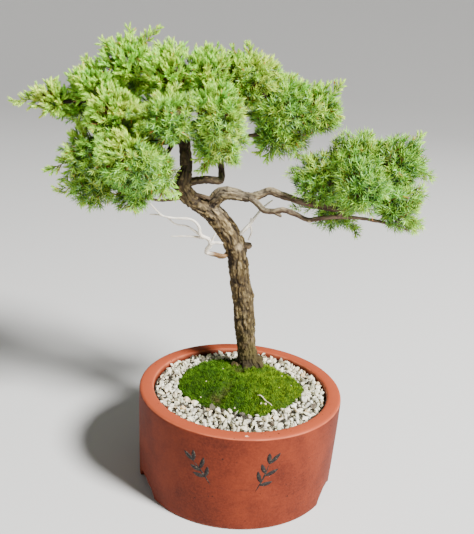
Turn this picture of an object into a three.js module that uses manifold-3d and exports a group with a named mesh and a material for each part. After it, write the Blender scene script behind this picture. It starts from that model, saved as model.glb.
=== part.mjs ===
// Procumbens nana juniper bonsai in a round unglazed clay pot.
// Millimetres, +Z up. The tree is built about the pot's axis, with the ground at z = 0 and its front
// towards -Y, and the last lines move the group so that its origin is under the middle of its box.

import * as THREE from 'three';
import { mergeVertices } from 'three/addons/utils/BufferGeometryUtils.js';
import Module from 'manifold-3d';

const wasm = await Module();
wasm.setup();

// Clearance between pieces that touch, and how much larger a hole is than the limb with few sides in it
const GAP = 0.3;
const HOLE_GAP = GAP * 1.4;

// Surfaces may move by this much when slivers left by a cut are taken out, and how far behind a face
// a form is tested for passing through itself
const FINEST = 0.04;
const BEHIND_FACE = 0.02;

// Pot
const POT_HEIGHT = 105;
const RIM_OUTER_RADIUS = 108;
const BASE_OUTER_RADIUS = 105;
const LIP_INNER_RADIUS = 92.5;
const LIP_DEPTH = 9;
const WALL_INNER_RADIUS = 97.5;
const FLOOR_TOP = 20;
const FLOOR_UNDERSIDE = 13;
const FOOT_INNER_RADIUS = 91.5;
const DRAIN_RADIUS = 11;
const POT_SIDES = 36;
const NOTCH_WIDTH = 46;
const NOTCH_HEIGHT = 15;
const NOTCH_BEARINGS = [-64, 70, 183];

// Drain mesh
const NET_BARS = 3;
const NET_PITCH = 13;
const NET_BAR_WIDTH = 2.5;
const NET_THICKNESS = 1.2;

// Soil, gravel and moss
const SOIL_TOP = 88;
const MOSS_BED_TOP = 97;
const SOIL_SIDES = 24;
const MAT_SIDES = 48;
const GRAVEL_TOP = 99.7;
const GRAVEL_RELIEF = 4.5;
const GRAVEL_RINGS = 5;
const LOOSE_STONES = 5;
const STONE_RADIUS = 3.6;
const STONE_RISE = 1;
const MOSS_EDGE_TOP = 100.5;
const MOSS_RISE = 9;
const MOSS_RINGS = 4;
const MOSS_MIDDLE = new THREE.Vector2(2, 10);

// Needles, and the bunches of shoots that carry them
const NEEDLE_LENGTH = 6.5;
const NEEDLE_LEAN = THREE.MathUtils.degToRad(52);
const WHORL_SPACING = 2.8;
const STEM_RADIUS = 0.9;
const LONG_SPACING = 4.7;
const SHOOT_SAG = 1.2;
const SHOOTS_MOST = 5;
const SHOOTS_APART = THREE.MathUtils.degToRad(58);
const CORE_REACH = 0.6;
const TUFT_REACH = 0.36;
const MEETING_REACH = 1.25;

// A repeatable source of numbers from 0 to 1
function randomFrom(seed) {
  let state = seed;
  return () => {
    state = (state + 0x6d2b79f5) | 0;
    let mixed = Math.imul(state ^ (state >>> 15), 1 | state);
    mixed = (mixed + Math.imul(mixed ^ (mixed >>> 7), 61 | mixed)) ^ mixed;
    return ((mixed ^ (mixed >>> 14)) >>> 0) / 4294967296;
  };
}

// Turns a closed mesh inside out where its faces point in
function facingOut(geometry) {
  const { position } = geometry.attributes;
  const { index } = geometry;
  const [a, b, c] = [new THREE.Vector3(), new THREE.Vector3(), new THREE.Vector3()];
  let volume = 0;
  for (let i = 0; i < index.count; i += 3) {
    a.fromBufferAttribute(position, index.getX(i));
    b.fromBufferAttribute(position, index.getX(i + 1));
    c.fromBufferAttribute(position, index.getX(i + 2));
    volume += a.dot(b.cross(c));
  }
  if (volume < 0) geometry.setIndex([...index.array].reverse());
  return geometry;
}

// A geometry as a solid that can be joined and cut; triangles that merging has flattened are dropped
function toSolid(geometry) {
  const bare = geometry.clone();
  bare.deleteAttribute('normal');
  bare.deleteAttribute('uv');
  const merged = mergeVertices(bare, 1e-4);
  const kept = [];
  for (let i = 0; i < merged.index.count; i += 3) {
    const triangle = [merged.index.getX(i), merged.index.getX(i + 1), merged.index.getX(i + 2)];
    if (new Set(triangle).size === 3) kept.push(...triangle);
  }
  merged.setIndex(kept);
  facingOut(merged);
  return new wasm.Manifold(new wasm.Mesh({
    numProp: 3,
    vertProperties: Float32Array.from(merged.attributes.position.array),
    triVerts: Uint32Array.from(merged.index.array),
  }));
}

function closedSolid(corners, triangles) {
  const geometry = new THREE.BufferGeometry();
  geometry.setAttribute('position', new THREE.Float32BufferAttribute(corners.flat(), 3));
  geometry.setIndex(triangles.flat());
  return toSolid(geometry);
}

function fuse(solids) {
  let parts = solids;
  while (parts.length > 1) {
    const joined = [];
    for (let i = 0; i < parts.length; i += 2) {
      joined.push(i + 1 < parts.length ? parts[i].add(parts[i + 1]) : parts[i]);
    }
    parts = joined;
  }
  return parts[0];
}

// The group that holds the whole object. A cut can leave slivers and loose scraps, so the slivers go
// and only the largest body stays.
const bonsai = new THREE.Group();

function addPiece(name, solid, look) {
  const bodies = solid.decompose().sort((one, other) => other.volume() - one.volume());
  const mesh = bodies[0].simplify(FINEST).getMesh();
  const geometry = new THREE.BufferGeometry();
  geometry.setAttribute('position', new THREE.BufferAttribute(mesh.vertProperties, 3));
  geometry.setIndex(new THREE.BufferAttribute(mesh.triVerts, 1));
  geometry.computeVertexNormals();
  const piece = new THREE.Mesh(geometry, new THREE.MeshStandardMaterial({ metalness: 0, ...look }));
  piece.name = name;
  bonsai.add(piece);
}

// Pot: a thrown wall, a flat rim with an inward lip, a raised floor round a drain hole, and a foot
// ring with three arched notches cut by hand.
function notchCutter(bearing) {
  const half = NOTCH_WIDTH / 2;
  const arch = new THREE.Shape();
  arch.moveTo(-half, -1);
  arch.lineTo(-half * 0.84, NOTCH_HEIGHT * 0.5);
  arch.lineTo(-half * 0.6, NOTCH_HEIGHT * 0.84);
  arch.quadraticCurveTo(-half * 0.2, NOTCH_HEIGHT * 1.12, half * 0.25, NOTCH_HEIGHT * 0.88);
  arch.lineTo(half * 0.8, NOTCH_HEIGHT * 0.5);
  arch.lineTo(half, -1);
  const cutter = new THREE.ExtrudeGeometry(arch, { depth: 40, bevelEnabled: false, curveSegments: 4 });
  cutter.rotateX(Math.PI / 2);
  cutter.translate(0, 12 - FOOT_INNER_RADIUS, 0);
  cutter.rotateZ(THREE.MathUtils.degToRad(bearing));
  return toSolid(cutter);
}

function potSolid() {
  const profile = [
    [DRAIN_RADIUS, FLOOR_UNDERSIDE],
    [FOOT_INNER_RADIUS - 2, FLOOR_UNDERSIDE],
    [FOOT_INNER_RADIUS, 0],
    [BASE_OUTER_RADIUS - 1.2, 0],
    [BASE_OUTER_RADIUS, 1.6],
    [RIM_OUTER_RADIUS - 0.6, POT_HEIGHT * 0.7],
    [RIM_OUTER_RADIUS, POT_HEIGHT - 4],
    [RIM_OUTER_RADIUS - 1.2, POT_HEIGHT - 1.2],
    [RIM_OUTER_RADIUS - 4, POT_HEIGHT],
    [LIP_INNER_RADIUS + 2.4, POT_HEIGHT],
    [LIP_INNER_RADIUS + 0.4, POT_HEIGHT - 1.4],
    [LIP_INNER_RADIUS, POT_HEIGHT - LIP_DEPTH],
    [WALL_INNER_RADIUS, POT_HEIGHT - LIP_DEPTH - 3],
    [WALL_INNER_RADIUS - 2, FLOOR_TOP + 4],
    [WALL_INNER_RADIUS - 5, FLOOR_TOP],
    [DRAIN_RADIUS, FLOOR_TOP],
  ];
  profile.push(profile[0]);
  const ring = new THREE.LatheGeometry(profile.map(([r, z]) => new THREE.Vector2(r, z)), POT_SIDES);
  ring.rotateX(Math.PI / 2);
  let solid = toSolid(ring);
  for (const bearing of NOTCH_BEARINGS) solid = solid.subtract(notchCutter(bearing));
  return solid;
}

addPiece('pot', potSolid(), { color: 0xa2553c, roughness: 0.75 });

// Drain mesh: a square of stiff plastic net, made of crossed bars, that keeps the soil off the hole.
function drainMeshSolid() {
  const bars = [];
  const length = (NET_BARS - 1) * NET_PITCH + NET_BAR_WIDTH;
  for (let bar = 0; bar < NET_BARS; bar += 1) {
    const across = (bar - (NET_BARS - 1) / 2) * NET_PITCH;
    const one = new THREE.BoxGeometry(length, NET_BAR_WIDTH, NET_THICKNESS);
    const other = new THREE.BoxGeometry(NET_BAR_WIDTH, length, NET_THICKNESS);
    bars.push(toSolid(one.translate(0, across, FLOOR_TOP + GAP + NET_THICKNESS / 2)));
    bars.push(toSolid(other.translate(across, 0, FLOOR_TOP + GAP + NET_THICKNESS / 2)));
  }
  return fuse(bars);
}

addPiece('drain_mesh', drainMeshSolid(), { color: 0x1c1c1a, roughness: 0.6 });

// Live wood: rows of [x, y, z, width] from the root end of each limb to its tip. The trunk leans left
// as it rises, and the bare limbs are those that show below the foliage.
const TRUNK = [
  [7.7, 48, 52, 24], [7.7, 48, 80, 29], [7.7, 48, 103, 29], [6, 47.5, 118, 23], [4, 47, 132, 21],
  [0.4, 45, 158, 23], [-3.6, 42, 186, 22], [-9.2, 39, 214, 20], [-13.6, 36, 240, 22], [-20, 33, 259, 22],
  [-32.8, 30, 277, 21], [-43.6, 28, 288, 20], [-60, 25, 297, 18], [-71, 23, 308, 17],
  [-74, 22, 319, 17], [-71, 24, 330, 12], [-72.2, 28, 340, 13], [-74.3, 33, 354, 12],
  [-80, 30, 375, 10], [-88, 25, 397, 7],
];
const BARE_LIMBS = [
  // upper and lower right
  [[-45, 27, 290, 14], [-39, 25, 302, 15], [-31, 23, 308.5, 14], [-20, 21, 309, 12.5], [-8, 19.5, 307.5, 10.5],
    [3, 18, 310, 9], [15, 17, 316, 8.5], [24, 16, 313.5, 8], [50, 14, 307.5, 7], [68, 12, 305, 6],
    [86, 10, 304, 5.5], [104, 9, 311, 5]],
  [[-8, 19, 310, 7], [4.6, 12, 302, 6.5], [10, 8, 298, 6.5], [19, 4, 298.4, 6], [29, 2, 301, 6],
    [42, 0, 298, 5.5], [54, -2, 294, 5], [67, -4, 297, 5], [82, -6, 300, 4.5], [109, -10, 301, 3.5],
    [140, -13, 297, 2.6], [151, -15, 294, 2.2]],
  // cut stub and side twigs on the right limbs
  [[50, 14, 307, 6], [58, 12, 312, 5], [63, 11, 313, 4.5]],
  [[19, 4, 298, 4], [28, 1, 294.5, 3]],
  // elbow at the back, which turns up into the foliage
  [[-68, 26, 317, 9], [-56, 40, 317.5, 8.5], [-45, 50, 316, 8], [-36.5, 56, 315, 8], [-36, 60, 321, 7.5],
    [-37.5, 61, 331, 7], [-45, 62, 356, 6], [-42, 72, 378, 5], [-42, 80, 394, 4]],
  // small twig in the crook, and a broken spur on the right of the trunk
  [[-68, 23, 306, 4.5], [-57, 20, 306.5, 3.8], [-48, 20, 304, 4], [-42, 23, 302, 4.5]],
  [[-9, 33, 252, 6.5], [-3, 33, 253, 5], [0, 33, 253.5, 3]],
  // low twigs on the left
  [[-72, 22, 314, 5], [-87, 14, 316.5, 4], [-94, 8, 316, 3.8], [-102, 0, 312, 3.2], [-112, -12, 313, 3]],
  [[-70, 22, 303, 5], [-84, 16, 300.5, 4], [-96, 6, 301, 3.2], [-106, -6, 306, 3]],
];
const HIDDEN_LIMBS = [
  // left arm and the boughs over it
  [[-76, 32, 362, 9], [-110, 20, 378, 7], [-139, -2, 384, 6], [-168, 6, 394, 5], [-204, 10, 388, 3]],
  [[-84, 28, 382, 7], [-108, 24, 405, 6], [-131, 20, 428, 4]],
  [[-150, 4, 390, 4], [-164, 10, 411, 3]],
  [[-92, 4, 360, 5], [-130, -6, 357, 4], [-162, -15, 350, 3]],
  // crown from middle to right
  [[-84, 27, 388, 7], [-70, 18, 404, 6], [-51, 12, 413, 5], [-13, 18, 413, 5], [25, 20, 402, 4],
    [60, 25, 396, 3]],
  [[-88, 25, 392, 5], [-89, 8, 419, 4]],
  [[-76, 30, 368, 6], [-60, 14, 366, 5], [-38, 3, 366, 4], [-13, 19, 369, 4], [14, 34, 372, 3]],
  // front
  [[-78, 32, 365, 8], [-80, 4, 375, 6], [-85, -32, 386, 4]],
  [[-79, 10, 373, 5], [-58, -10, 385, 4], [-41, -28, 395, 3]],
  [[-77, 30, 358, 7], [-95, 0, 360, 6], [-113, -35, 355, 4], [-115, -48, 351, 3]],
  [[-84, 18, 359, 5], [-93, -26, 338, 3]],
  [[-109, -10, 312, 3.4], [-132, -16, 315, 3], [-156, -20, 317, 2.6]],
  // back
  [[-80, 33, 372, 8], [-95, 55, 386, 6], [-98, 77, 400, 4]],
  [[-94, 52, 384, 5], [-125, 62, 386, 4], [-150, 68, 389, 3.4], [-181, 50, 383, 2.6]],
  [[-93, 52, 384, 5], [-108, 53, 366, 4], [-124, 55, 353, 3]],
  [[-43, 70, 376, 5], [-15, 76, 382, 4], [14, 78, 390, 3]],
  // right pad
  [[104, 9, 310, 5], [103, 8, 328, 4], [93, 5, 352, 3]],
  [[100, 9, 309, 5], [119, 10, 332, 4], [134, 10, 352, 3]],
  [[68, 12, 305, 5], [64, 14, 322, 4], [61, 15, 336, 3]],
  [[82, -6, 300, 4], [92, -18, 316, 3.4], [100, -25, 332, 3]],
  [[138, -13, 297, 2.6], [142, -11, 308, 2.6], [141, -10, 315, 2.4]],
  [[70, 12, 305, 4], [80, 26, 303, 3.4], [86, 35, 297, 3]],
  [[102, 10, 312, 5], [100, 30, 326, 4], [100, 50, 339, 3]],
  [[101, 28, 322, 4], [119, 38, 330, 3.4], [137, 45, 335, 3]],
];

// Dead wood, bleached white, that grew out of the trunk on both sides and thins to bare twigs.
const DEAD_LEFT = [
  [[-22, 35, 244, 5], [-27, 27, 240.5, 5.2], [-38, 22, 243.5, 5], [-45.5, 19, 246, 4.8], [-45, 17, 250, 4.6],
    [-41.5, 15, 256, 4.6], [-43, 14, 261, 4.5], [-52, 10, 267, 4], [-53.5, 8, 274, 3.4], [-57, 6, 280.5, 3], [-64, 4, 284.5, 2.6],
    [-78, 2, 285, 2.4], [-90, 0, 287, 2], [-97.5, -2, 293.5, 1.8], [-103, -4, 300, 1.4]],
  [[-88, 0, 286.5, 2], [-96, 1, 287.5, 1.6], [-104, 2, 287, 1.2]],
  [[-50, 11, 265, 3.4], [-56.6, 10, 269.4, 2.6], [-66, 10, 275, 2.2], [-77.5, 8, 277, 2],
    [-85.5, 3, 284.5, 1.8]],
  [[-47, 12, 263, 3], [-61.7, 12, 264, 2.2], [-83, 14, 262, 1.4]],
  [[-42, 14, 257, 4], [-36, 14.5, 258.5, 3.4], [-29, 16, 257.5, 3]],
  [[-41, 14, 258, 3], [-37, 12, 269.5, 2]],
];
const DEAD_RIGHT = [
  [[-15, 31, 262, 4.5], [-8, 31, 269, 4], [-2, 34, 276, 3.4], [6, 40, 287, 2.8], [13, 44, 294.3, 2.2],
    [20, 46, 300, 1.6]],
  [[-2.5, 34, 275, 2.4], [0, 35, 267, 2], [-3, 36, 257, 1.6]],
  [[-2, 34, 275, 2.4], [-1.5, 36, 281.5, 1.6]],
];

// A closed limb round a smooth line through its rows, with a ring at each row and more on long
// stretches. Ridge roughens its width like bark; extra makes it larger, for the hole it stands in.
function limb(rows, { sides = 5, step = 30, ridge = 0, seed = 1, extra = 0 } = {}) {
  const random = randomFrom(seed);
  const line = rows.map(([x, y, z]) => new THREE.Vector3(x, y, z));
  const curve = new THREE.CatmullRomCurve3(line, false, 'centripetal');
  const stations = [0];
  for (let row = 1; row < rows.length; row += 1) {
    const stretches = Math.max(1, Math.round(line[row].distanceTo(line[row - 1]) / step));
    for (let part = 1; part <= stretches; part += 1) stations.push(row - 1 + part / stretches);
  }
  const corners = [];
  const triangles = [];
  const normal = new THREE.Vector3(0.31, -0.9, 0.3);
  for (const [ring, station] of stations.entries()) {
    const middle = curve.getPoint(station / (rows.length - 1));
    const along = curve.getTangent(station / (rows.length - 1));
    normal.addScaledVector(along, -normal.dot(along)).normalize();
    const across = along.clone().cross(normal);
    const row = Math.min(rows.length - 2, Math.floor(station));
    const width = THREE.MathUtils.lerp(rows[row][3], rows[row + 1][3], station - row);
    for (let side = 0; side < sides; side += 1) {
      const angle = (side / sides) * 2 * Math.PI;
      const radius = (width / 2) * (1 + ridge * (2 * random() - 1)) + extra;
      const corner = middle.clone().addScaledVector(normal, Math.cos(angle) * radius);
      corners.push(corner.addScaledVector(across, Math.sin(angle) * radius).toArray());
      if (ring === 0) continue;
      const [low, high] = [(ring - 1) * sides, ring * sides];
      const next = (side + 1) % sides;
      triangles.push([low + side, low + next, high + next], [low + side, high + next, high + side]);
    }
  }
  for (const [ring, way] of [[0, -1], [stations.length - 1, 1]]) {
    const end = way < 0 ? 0 : 1;
    const bulge = rows[end * (rows.length - 1)][3] * 0.15 + extra;
    corners.push(curve.getPoint(end).addScaledVector(curve.getTangent(end), way * bulge).toArray());
    for (let side = 0; side < sides; side += 1) {
      const pair = [ring * sides + side, ring * sides + ((side + 1) % sides)];
      if (way < 0) pair.reverse();
      triangles.push([corners.length - 1, ...pair]);
    }
  }
  return closedSolid(corners, triangles);
}

// An angular block of 20 faces about a place, each corner as far out as reachAt says
function blockForm(turn, reachAt, place) {
  const form = new THREE.IcosahedronGeometry(1, 0);
  form.deleteAttribute('normal');
  form.deleteAttribute('uv');
  const { attributes, index } = mergeVertices(form, 1e-4);
  const corners = [];
  for (let i = 0; i < attributes.position.count; i += 1) {
    const way = new THREE.Vector3().fromBufferAttribute(attributes.position, i).applyEuler(turn);
    corners.push(way.clone().multiplyScalar(reachAt(way)).add(place));
  }
  const triangles = [];
  for (let i = 0; i < index.count; i += 3) {
    triangles.push([index.getX(i), index.getX(i + 1), index.getX(i + 2)]);
  }
  return { corners, triangles };
}

// A stone or a bark lump
function lump(place, radius, seed) {
  const random = randomFrom(seed);
  const turn = new THREE.Euler(random() * 6, random() * 6, random() * 6);
  const { corners, triangles } = blockForm(turn, () => radius * (0.75 + 0.5 * random()), place);
  return closedSolid(corners.map((corner) => corner.toArray()), triangles);
}

// Bark lumps: [x, y, z, radius], those round the foot first, then the burr where the trunk turns up
const FOOT_LUMPS = [[17, 42, 108, 8], [20, 46, 116, 5], [-6, 44, 105, 7], [8, 38, 104, 8]];
const BURR = [-77, 22, 316, 8];

const lumpForms = (rows, extra) => rows.map(([x, y, z, radius], i) => (
  lump(new THREE.Vector3(x, y, z), radius + 2 * extra, 60 + i)));
const trunkForm = (extra) => limb(TRUNK, { sides: 8, step: 14, ridge: 0.07, seed: 3, extra });
const bareForms = (extra) => BARE_LIMBS.map((rows, i) => (
  limb(rows, { sides: 5, step: 20, ridge: 0.08, seed: 20 + i, extra })));
const hiddenForms = (extra) => HIDDEN_LIMBS.map((rows) => limb(rows, { sides: 3, extra }));
const deadForms = (limbs, extra) => limbs.map((rows) => limb(rows, { sides: 4, extra }));

function trunkSolid() {
  const lumps = lumpForms([...FOOT_LUMPS, BURR], 0);
  const wood = fuse([trunkForm(0), ...lumps, ...bareForms(0), ...hiddenForms(0)]);
  return wood.subtract(fuse([...deadForms(DEAD_LEFT, HOLE_GAP), ...deadForms(DEAD_RIGHT, HOLE_GAP)]));
}

addPiece('trunk', trunkSolid(), { color: 0x6b5a48, roughness: 0.95 });
addPiece('deadwood_left', fuse(deadForms(DEAD_LEFT, 0)), { color: 0xcfc4b2, roughness: 0.85 });
addPiece('deadwood_right', fuse(deadForms(DEAD_RIGHT, 0)), { color: 0xcfc4b2, roughness: 0.85 });

// The moss mat's outline, which its soil bed and the gravel's inner edge follow.
const mossEdge = new THREE.CatmullRomCurve3([
  [-66, -9], [-65, 17], [-54, 43], [-34, 62], [-12, 69], [14, 72], [33, 60], [47, 44], [63, 25],
  [69, 4], [58, -20], [41, -39], [24, -53], [4, -52], [-16, -44], [-32, -43], [-52, -31],
].map(([x, y]) => new THREE.Vector3(x, y, 0)), true);
const mossOutline = mossEdge.getSpacedPoints(MAT_SIDES).slice(0, MAT_SIDES).map(({ x, y }) => {
  const out = new THREE.Vector2(x, y).sub(MOSS_MIDDLE);
  return { reach: out.length(), out: out.normalize() };
});

function onMat(side, fraction, outset) {
  const { reach, out } = mossOutline[side];
  return MOSS_MIDDLE.clone().addScaledVector(out, reach * fraction + outset);
}

// A closed slab over rows of places, from the inner edge or the middle to the outer edge
function slab(rows, topAt, bottom) {
  const sides = rows[0].length;
  const corners = rows.flatMap((row, r) => row.map((place, s) => [place.x, place.y, topAt(place, r, s)]));
  const [lowNear, outer] = [corners.length, (rows.length - 1) * sides];
  const lowFar = lowNear + sides;
  for (const row of [rows[0], rows[rows.length - 1]]) {
    for (const place of row) corners.push([place.x, place.y, bottom]);
  }
  const triangles = [];
  for (let s = 0; s < sides; s += 1) {
    const next = (s + 1) % sides;
    for (let near = 0; near < outer; near += sides) {
      const far = near + sides;
      triangles.push([near + s, far + s, far + next], [near + s, far + next, near + next]);
    }
    triangles.push([lowNear + s, lowFar + next, lowFar + s], [lowNear + s, lowNear + next, lowFar + next]);
    triangles.push([outer + s, lowFar + s, lowFar + next], [outer + s, lowFar + next, outer + next]);
    triangles.push([s, lowNear + next, lowNear + s], [s, next, lowNear + next]);
  }
  return closedSolid(corners, triangles);
}

const matRow = (fraction, outset) => mossOutline.map((_, side) => onMat(side, fraction, outset));

// Soil: fills the pot to below the gravel, with a low bed under the moss, a seat over the drain mesh
// and a plain hole for the foot of the trunk.
function soilSolid() {
  const clear = 0.8;
  const profile = [
    [0, FLOOR_TOP + GAP],
    [WALL_INNER_RADIUS - 5 - clear, FLOOR_TOP + GAP],
    [WALL_INNER_RADIUS - 2 - clear, FLOOR_TOP + 4.4],
    [WALL_INNER_RADIUS - 0.4 - clear, SOIL_TOP],
    [0, SOIL_TOP],
  ];
  const fill = new THREE.LatheGeometry(profile.map(([r, z]) => new THREE.Vector2(r, z)), SOIL_SIDES);
  fill.rotateX(Math.PI / 2);
  const bed = slab([matRow(0, 0), matRow(1, -1)], () => MOSS_BED_TOP, SOIL_TOP - 3);
  const seatHeight = NET_THICKNESS + 2 * GAP;
  const seatSide = (NET_BARS - 1) * NET_PITCH + NET_BAR_WIDTH + 2 * GAP;
  const seat = new THREE.BoxGeometry(seatSide, seatSide, seatHeight + 1);
  seat.translate(0, 0, FLOOR_TOP + (seatHeight - 1) / 2);
  return toSolid(fill).add(bed).subtract(toSolid(seat)).subtract(trunkForm(HOLE_GAP));
}

addPiece('soil', soilSolid(), { color: 0x3b2d22, roughness: 1 });

// Gravel: a bed of crushed stone raised from its surface by a formula, with loose stones sunk in it.
function gravelSolid() {
  const random = randomFrom(11);
  const reach = LIP_INNER_RADIUS - 1;
  const rows = [];
  for (let ring = 0; ring <= GRAVEL_RINGS; ring += 1) {
    const edge = ring === 0 || ring === GRAVEL_RINGS;
    rows.push(mossOutline.map(({ out }, side) => {
      const near = onMat(side, 1, GAP);
      const along = near.dot(out);
      const across = near.lengthSq() - along * along;
      const width = Math.sqrt(reach * reach - across) - along;
      const shift = edge ? 0 : (random() - 0.5) * 0.5;
      return near.addScaledVector(out, (width * (ring + shift)) / GRAVEL_RINGS);
    }));
  }
  const bed = slab(rows, () => GRAVEL_TOP + (random() - 0.3) * GRAVEL_RELIEF, SOIL_TOP + GAP);
  const stones = [];
  for (let i = 0; i < LOOSE_STONES; i += 1) {
    const row = rows[2 + Math.floor(random() * (GRAVEL_RINGS - 2))];
    const place = row[Math.floor(((i + random() * 0.6) / LOOSE_STONES) * MAT_SIDES) % MAT_SIDES];
    stones.push(lump(new THREE.Vector3(place.x, place.y, GRAVEL_TOP + STONE_RISE), STONE_RADIUS, 100 + i));
  }
  return fuse([bed, ...stones]);
}

addPiece('gravel', gravelSolid(), { color: 0xcfcabd, roughness: 0.9 });

// Moss: two soft lobes with a dip between them, and a hole where the trunk rises through it.
function mossSolid() {
  const random = randomFrom(7);
  const lobe = (place, x, y, reach) => Math.exp(-(((place.x - x) ** 2 + (place.y - y) ** 2) / reach ** 2));
  const rows = [matRow(0, 0)];
  for (let ring = 1; ring <= MOSS_RINGS; ring += 1) rows.push(matRow(ring / MOSS_RINGS, -GAP));
  const middleTop = MOSS_EDGE_TOP + MOSS_RISE * 0.8;
  const top = (place, ring) => {
    if (ring === 0) return middleTop;
    if (ring === MOSS_RINGS) return MOSS_EDGE_TOP;
    const swell = Math.max(lobe(place, -28, 16, 44), lobe(place, 26, 4, 50), lobe(place, 6, 46, 34));
    return MOSS_EDGE_TOP + MOSS_RISE * swell * (0.85 + 0.3 * random());
  };
  const foot = fuse([trunkForm(HOLE_GAP), ...lumpForms(FOOT_LUMPS, HOLE_GAP)]);
  return slab(rows, top, MOSS_BED_TOP + GAP).subtract(foot);
}

addPiece('moss', mossSolid(), { color: 0x4f7a14, roughness: 1 });

// Bunches of foliage: [name, x, y, z, reach], with the middle of each bunch and how far its shoots reach.
const BUNCHES = [
  ['arm_left', -203, 12, 393, 17], ['left_top', -161, 10, 408, 24], ['top_left', -131, 20, 430, 27],
  ['top_mid_left', -89, 5, 426, 26], ['top_mid', -52, 10, 426, 27], ['top_mid_right', -13, 20, 425, 27],
  ['right_top', 23, 20, 403, 27], ['right_end', 55, 25, 397, 24], ['right_under', 21, 35, 374, 25],
  ['front_mid', -40, -30, 396, 25], ['front_left', -85, -35, 389, 26], ['left_mid', -138, -18, 384, 27],
  ['left_low', -160, -15, 349, 24], ['low_front', -118, -48, 351, 29], ['low_left', -155, -20, 319, 21],
  ['low_mid', -118, -18, 315, 20], ['low_right', -94, -28, 337, 19], ['under_mid', -37, 2, 366, 24],
  ['back_left', -150, 70, 392, 27], ['back_mid_left', -98, 78, 402, 28], ['back_mid', -42, 80, 400, 28],
  ['back_right', 14, 78, 391, 26], ['back_low_left', -124, 55, 353, 25], ['back_arm', -181, 50, 383, 20],
  ['pad_left', 63, 15, 333, 24], ['pad_top', 97, 5, 354, 26], ['pad_right', 136, 10, 354, 26],
  ['pad_front', 101, -25, 334, 24], ['pad_tip', 140, -10, 316, 22], ['pad_low', 86, 36, 296, 17],
  ['pad_back', 104, 50, 340, 25], ['pad_back_right', 138, 46, 337, 22],
].map(([name, x, y, z, reach]) => ({ name, middle: new THREE.Vector3(x, y, z), reach }));

// Shoots that stand out past their bunch, to the furthest tips of the crown and the right pad
const LONG_SHOOTS = {
  arm_left: [[-245, 14, 388], [-224, 12, 402]],
  left_top: [[-188, 10, 417]],
  top_left: [[-102, 20, 467], [-130, 21, 466], [-158, 18, 451]],
  top_mid_left: [[-87, 8, 456]],
  top_mid_right: [[-16, 20, 458]],
  right_end: [[78, 25, 428], [81, 24, 394]],
  left_low: [[-202, -20, 328]],
  low_left: [[-193, -22, 311], [-170, -22, 299]],
  low_mid: [[-118, -32, 299]],
  low_right: [[-74, -28, 313]],
  under_mid: [[-57, 4, 332]],
  right_under: [[7, 28, 343]],
  pad_right: [[175, 10, 343], [160, 10, 385]],
  pad_tip: [[161, -10, 291]],
  pad_left: [[31, 15, 337]],
  pad_low: [[39, 40, 296], [64, 38, 280], [113, 36, 271]],
};

// The space that is a bunch's own ends at flat planes part of the way to each neighbour, so that no
// two bunches meet.
function edgesOf(bunch) {
  return BUNCHES.filter((other) => other !== bunch).map((other) => {
    const way = other.middle.clone().sub(bunch.middle);
    const apart = way.length();
    const distance = (apart ** 2 + bunch.reach ** 2 - other.reach ** 2) / (2 * apart) - GAP;
    return { way: way.normalize(), distance };
  });
}

// A shoot drawn out of a face of its bunch's core: a stem whose rings have six corners, every other one
// drawn out and forward into a needle, three to a whorl, the next whorl between them, one at the tip.
function drawShoot(core, face, line, spacing, random) {
  const count = Math.max(2, Math.round(line.getLength() / spacing));
  const frames = line.computeFrenetFrames(count, false);
  const corners = [];
  for (let ring = 0; ring <= count; ring += 1) {
    const taper = 1 - 0.35 * (ring / count) ** 2;
    for (let side = 0; side < 6; side += 1) {
      const angle = (side / 6) * 2 * Math.PI;
      const out = frames.normals[ring].clone().multiplyScalar(Math.cos(angle));
      out.addScaledVector(frames.binormals[ring], Math.sin(angle));
      const corner = line.getPointAt(ring / count).addScaledVector(out, STEM_RADIUS);
      if (ring > 0 && (side + ring) % 2 === 0) {
        const length = NEEDLE_LENGTH * taper * (0.85 + 0.3 * random());
        corner.addScaledVector(out, Math.sin(NEEDLE_LEAN) * length);
        corner.addScaledVector(frames.tangents[ring], Math.cos(NEEDLE_LEAN) * length);
      }
      corners.push(corner);
    }
  }
  corners.push(line.getPointAt(1).addScaledVector(frames.tangents[count], NEEDLE_LENGTH * 0.7));
  const first = core.corners.length;
  const tip = first + corners.length - 1;
  const triangles = [];
  for (let side = 0; side < 6; side += 1) {
    const next = (side + 1) % 6;
    for (let ring = 0; ring < count; ring += 1) {
      const [low, high] = [first + ring * 6, first + ring * 6 + 6];
      const [a, b, c, d] = [low + side, low + next, high + next, high + side];
      triangles.push(...((side + ring) % 2 === 0 ? [[a, b, d], [b, c, d]] : [[a, b, c], [a, c, d]]));
    }
    triangles.push([tip, first + count * 6 + side, first + count * 6 + next]);
  }
  const nearest = core.corners[face[0]];
  const gaps = corners.slice(0, 6).map((corner) => corner.distanceTo(nearest));
  const start = gaps.indexOf(Math.min(...gaps));
  for (let side = 0; side < 3; side += 1) {
    const [near, far] = [face[side], face[(side + 1) % 3]];
    const [p, q, r] = [0, 1, 2].map((step) => first + ((start + 2 * side + step) % 6));
    triangles.push([near, far, q], [near, q, p], [far, r, q]);
  }
  return { corners, triangles };
}

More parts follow.
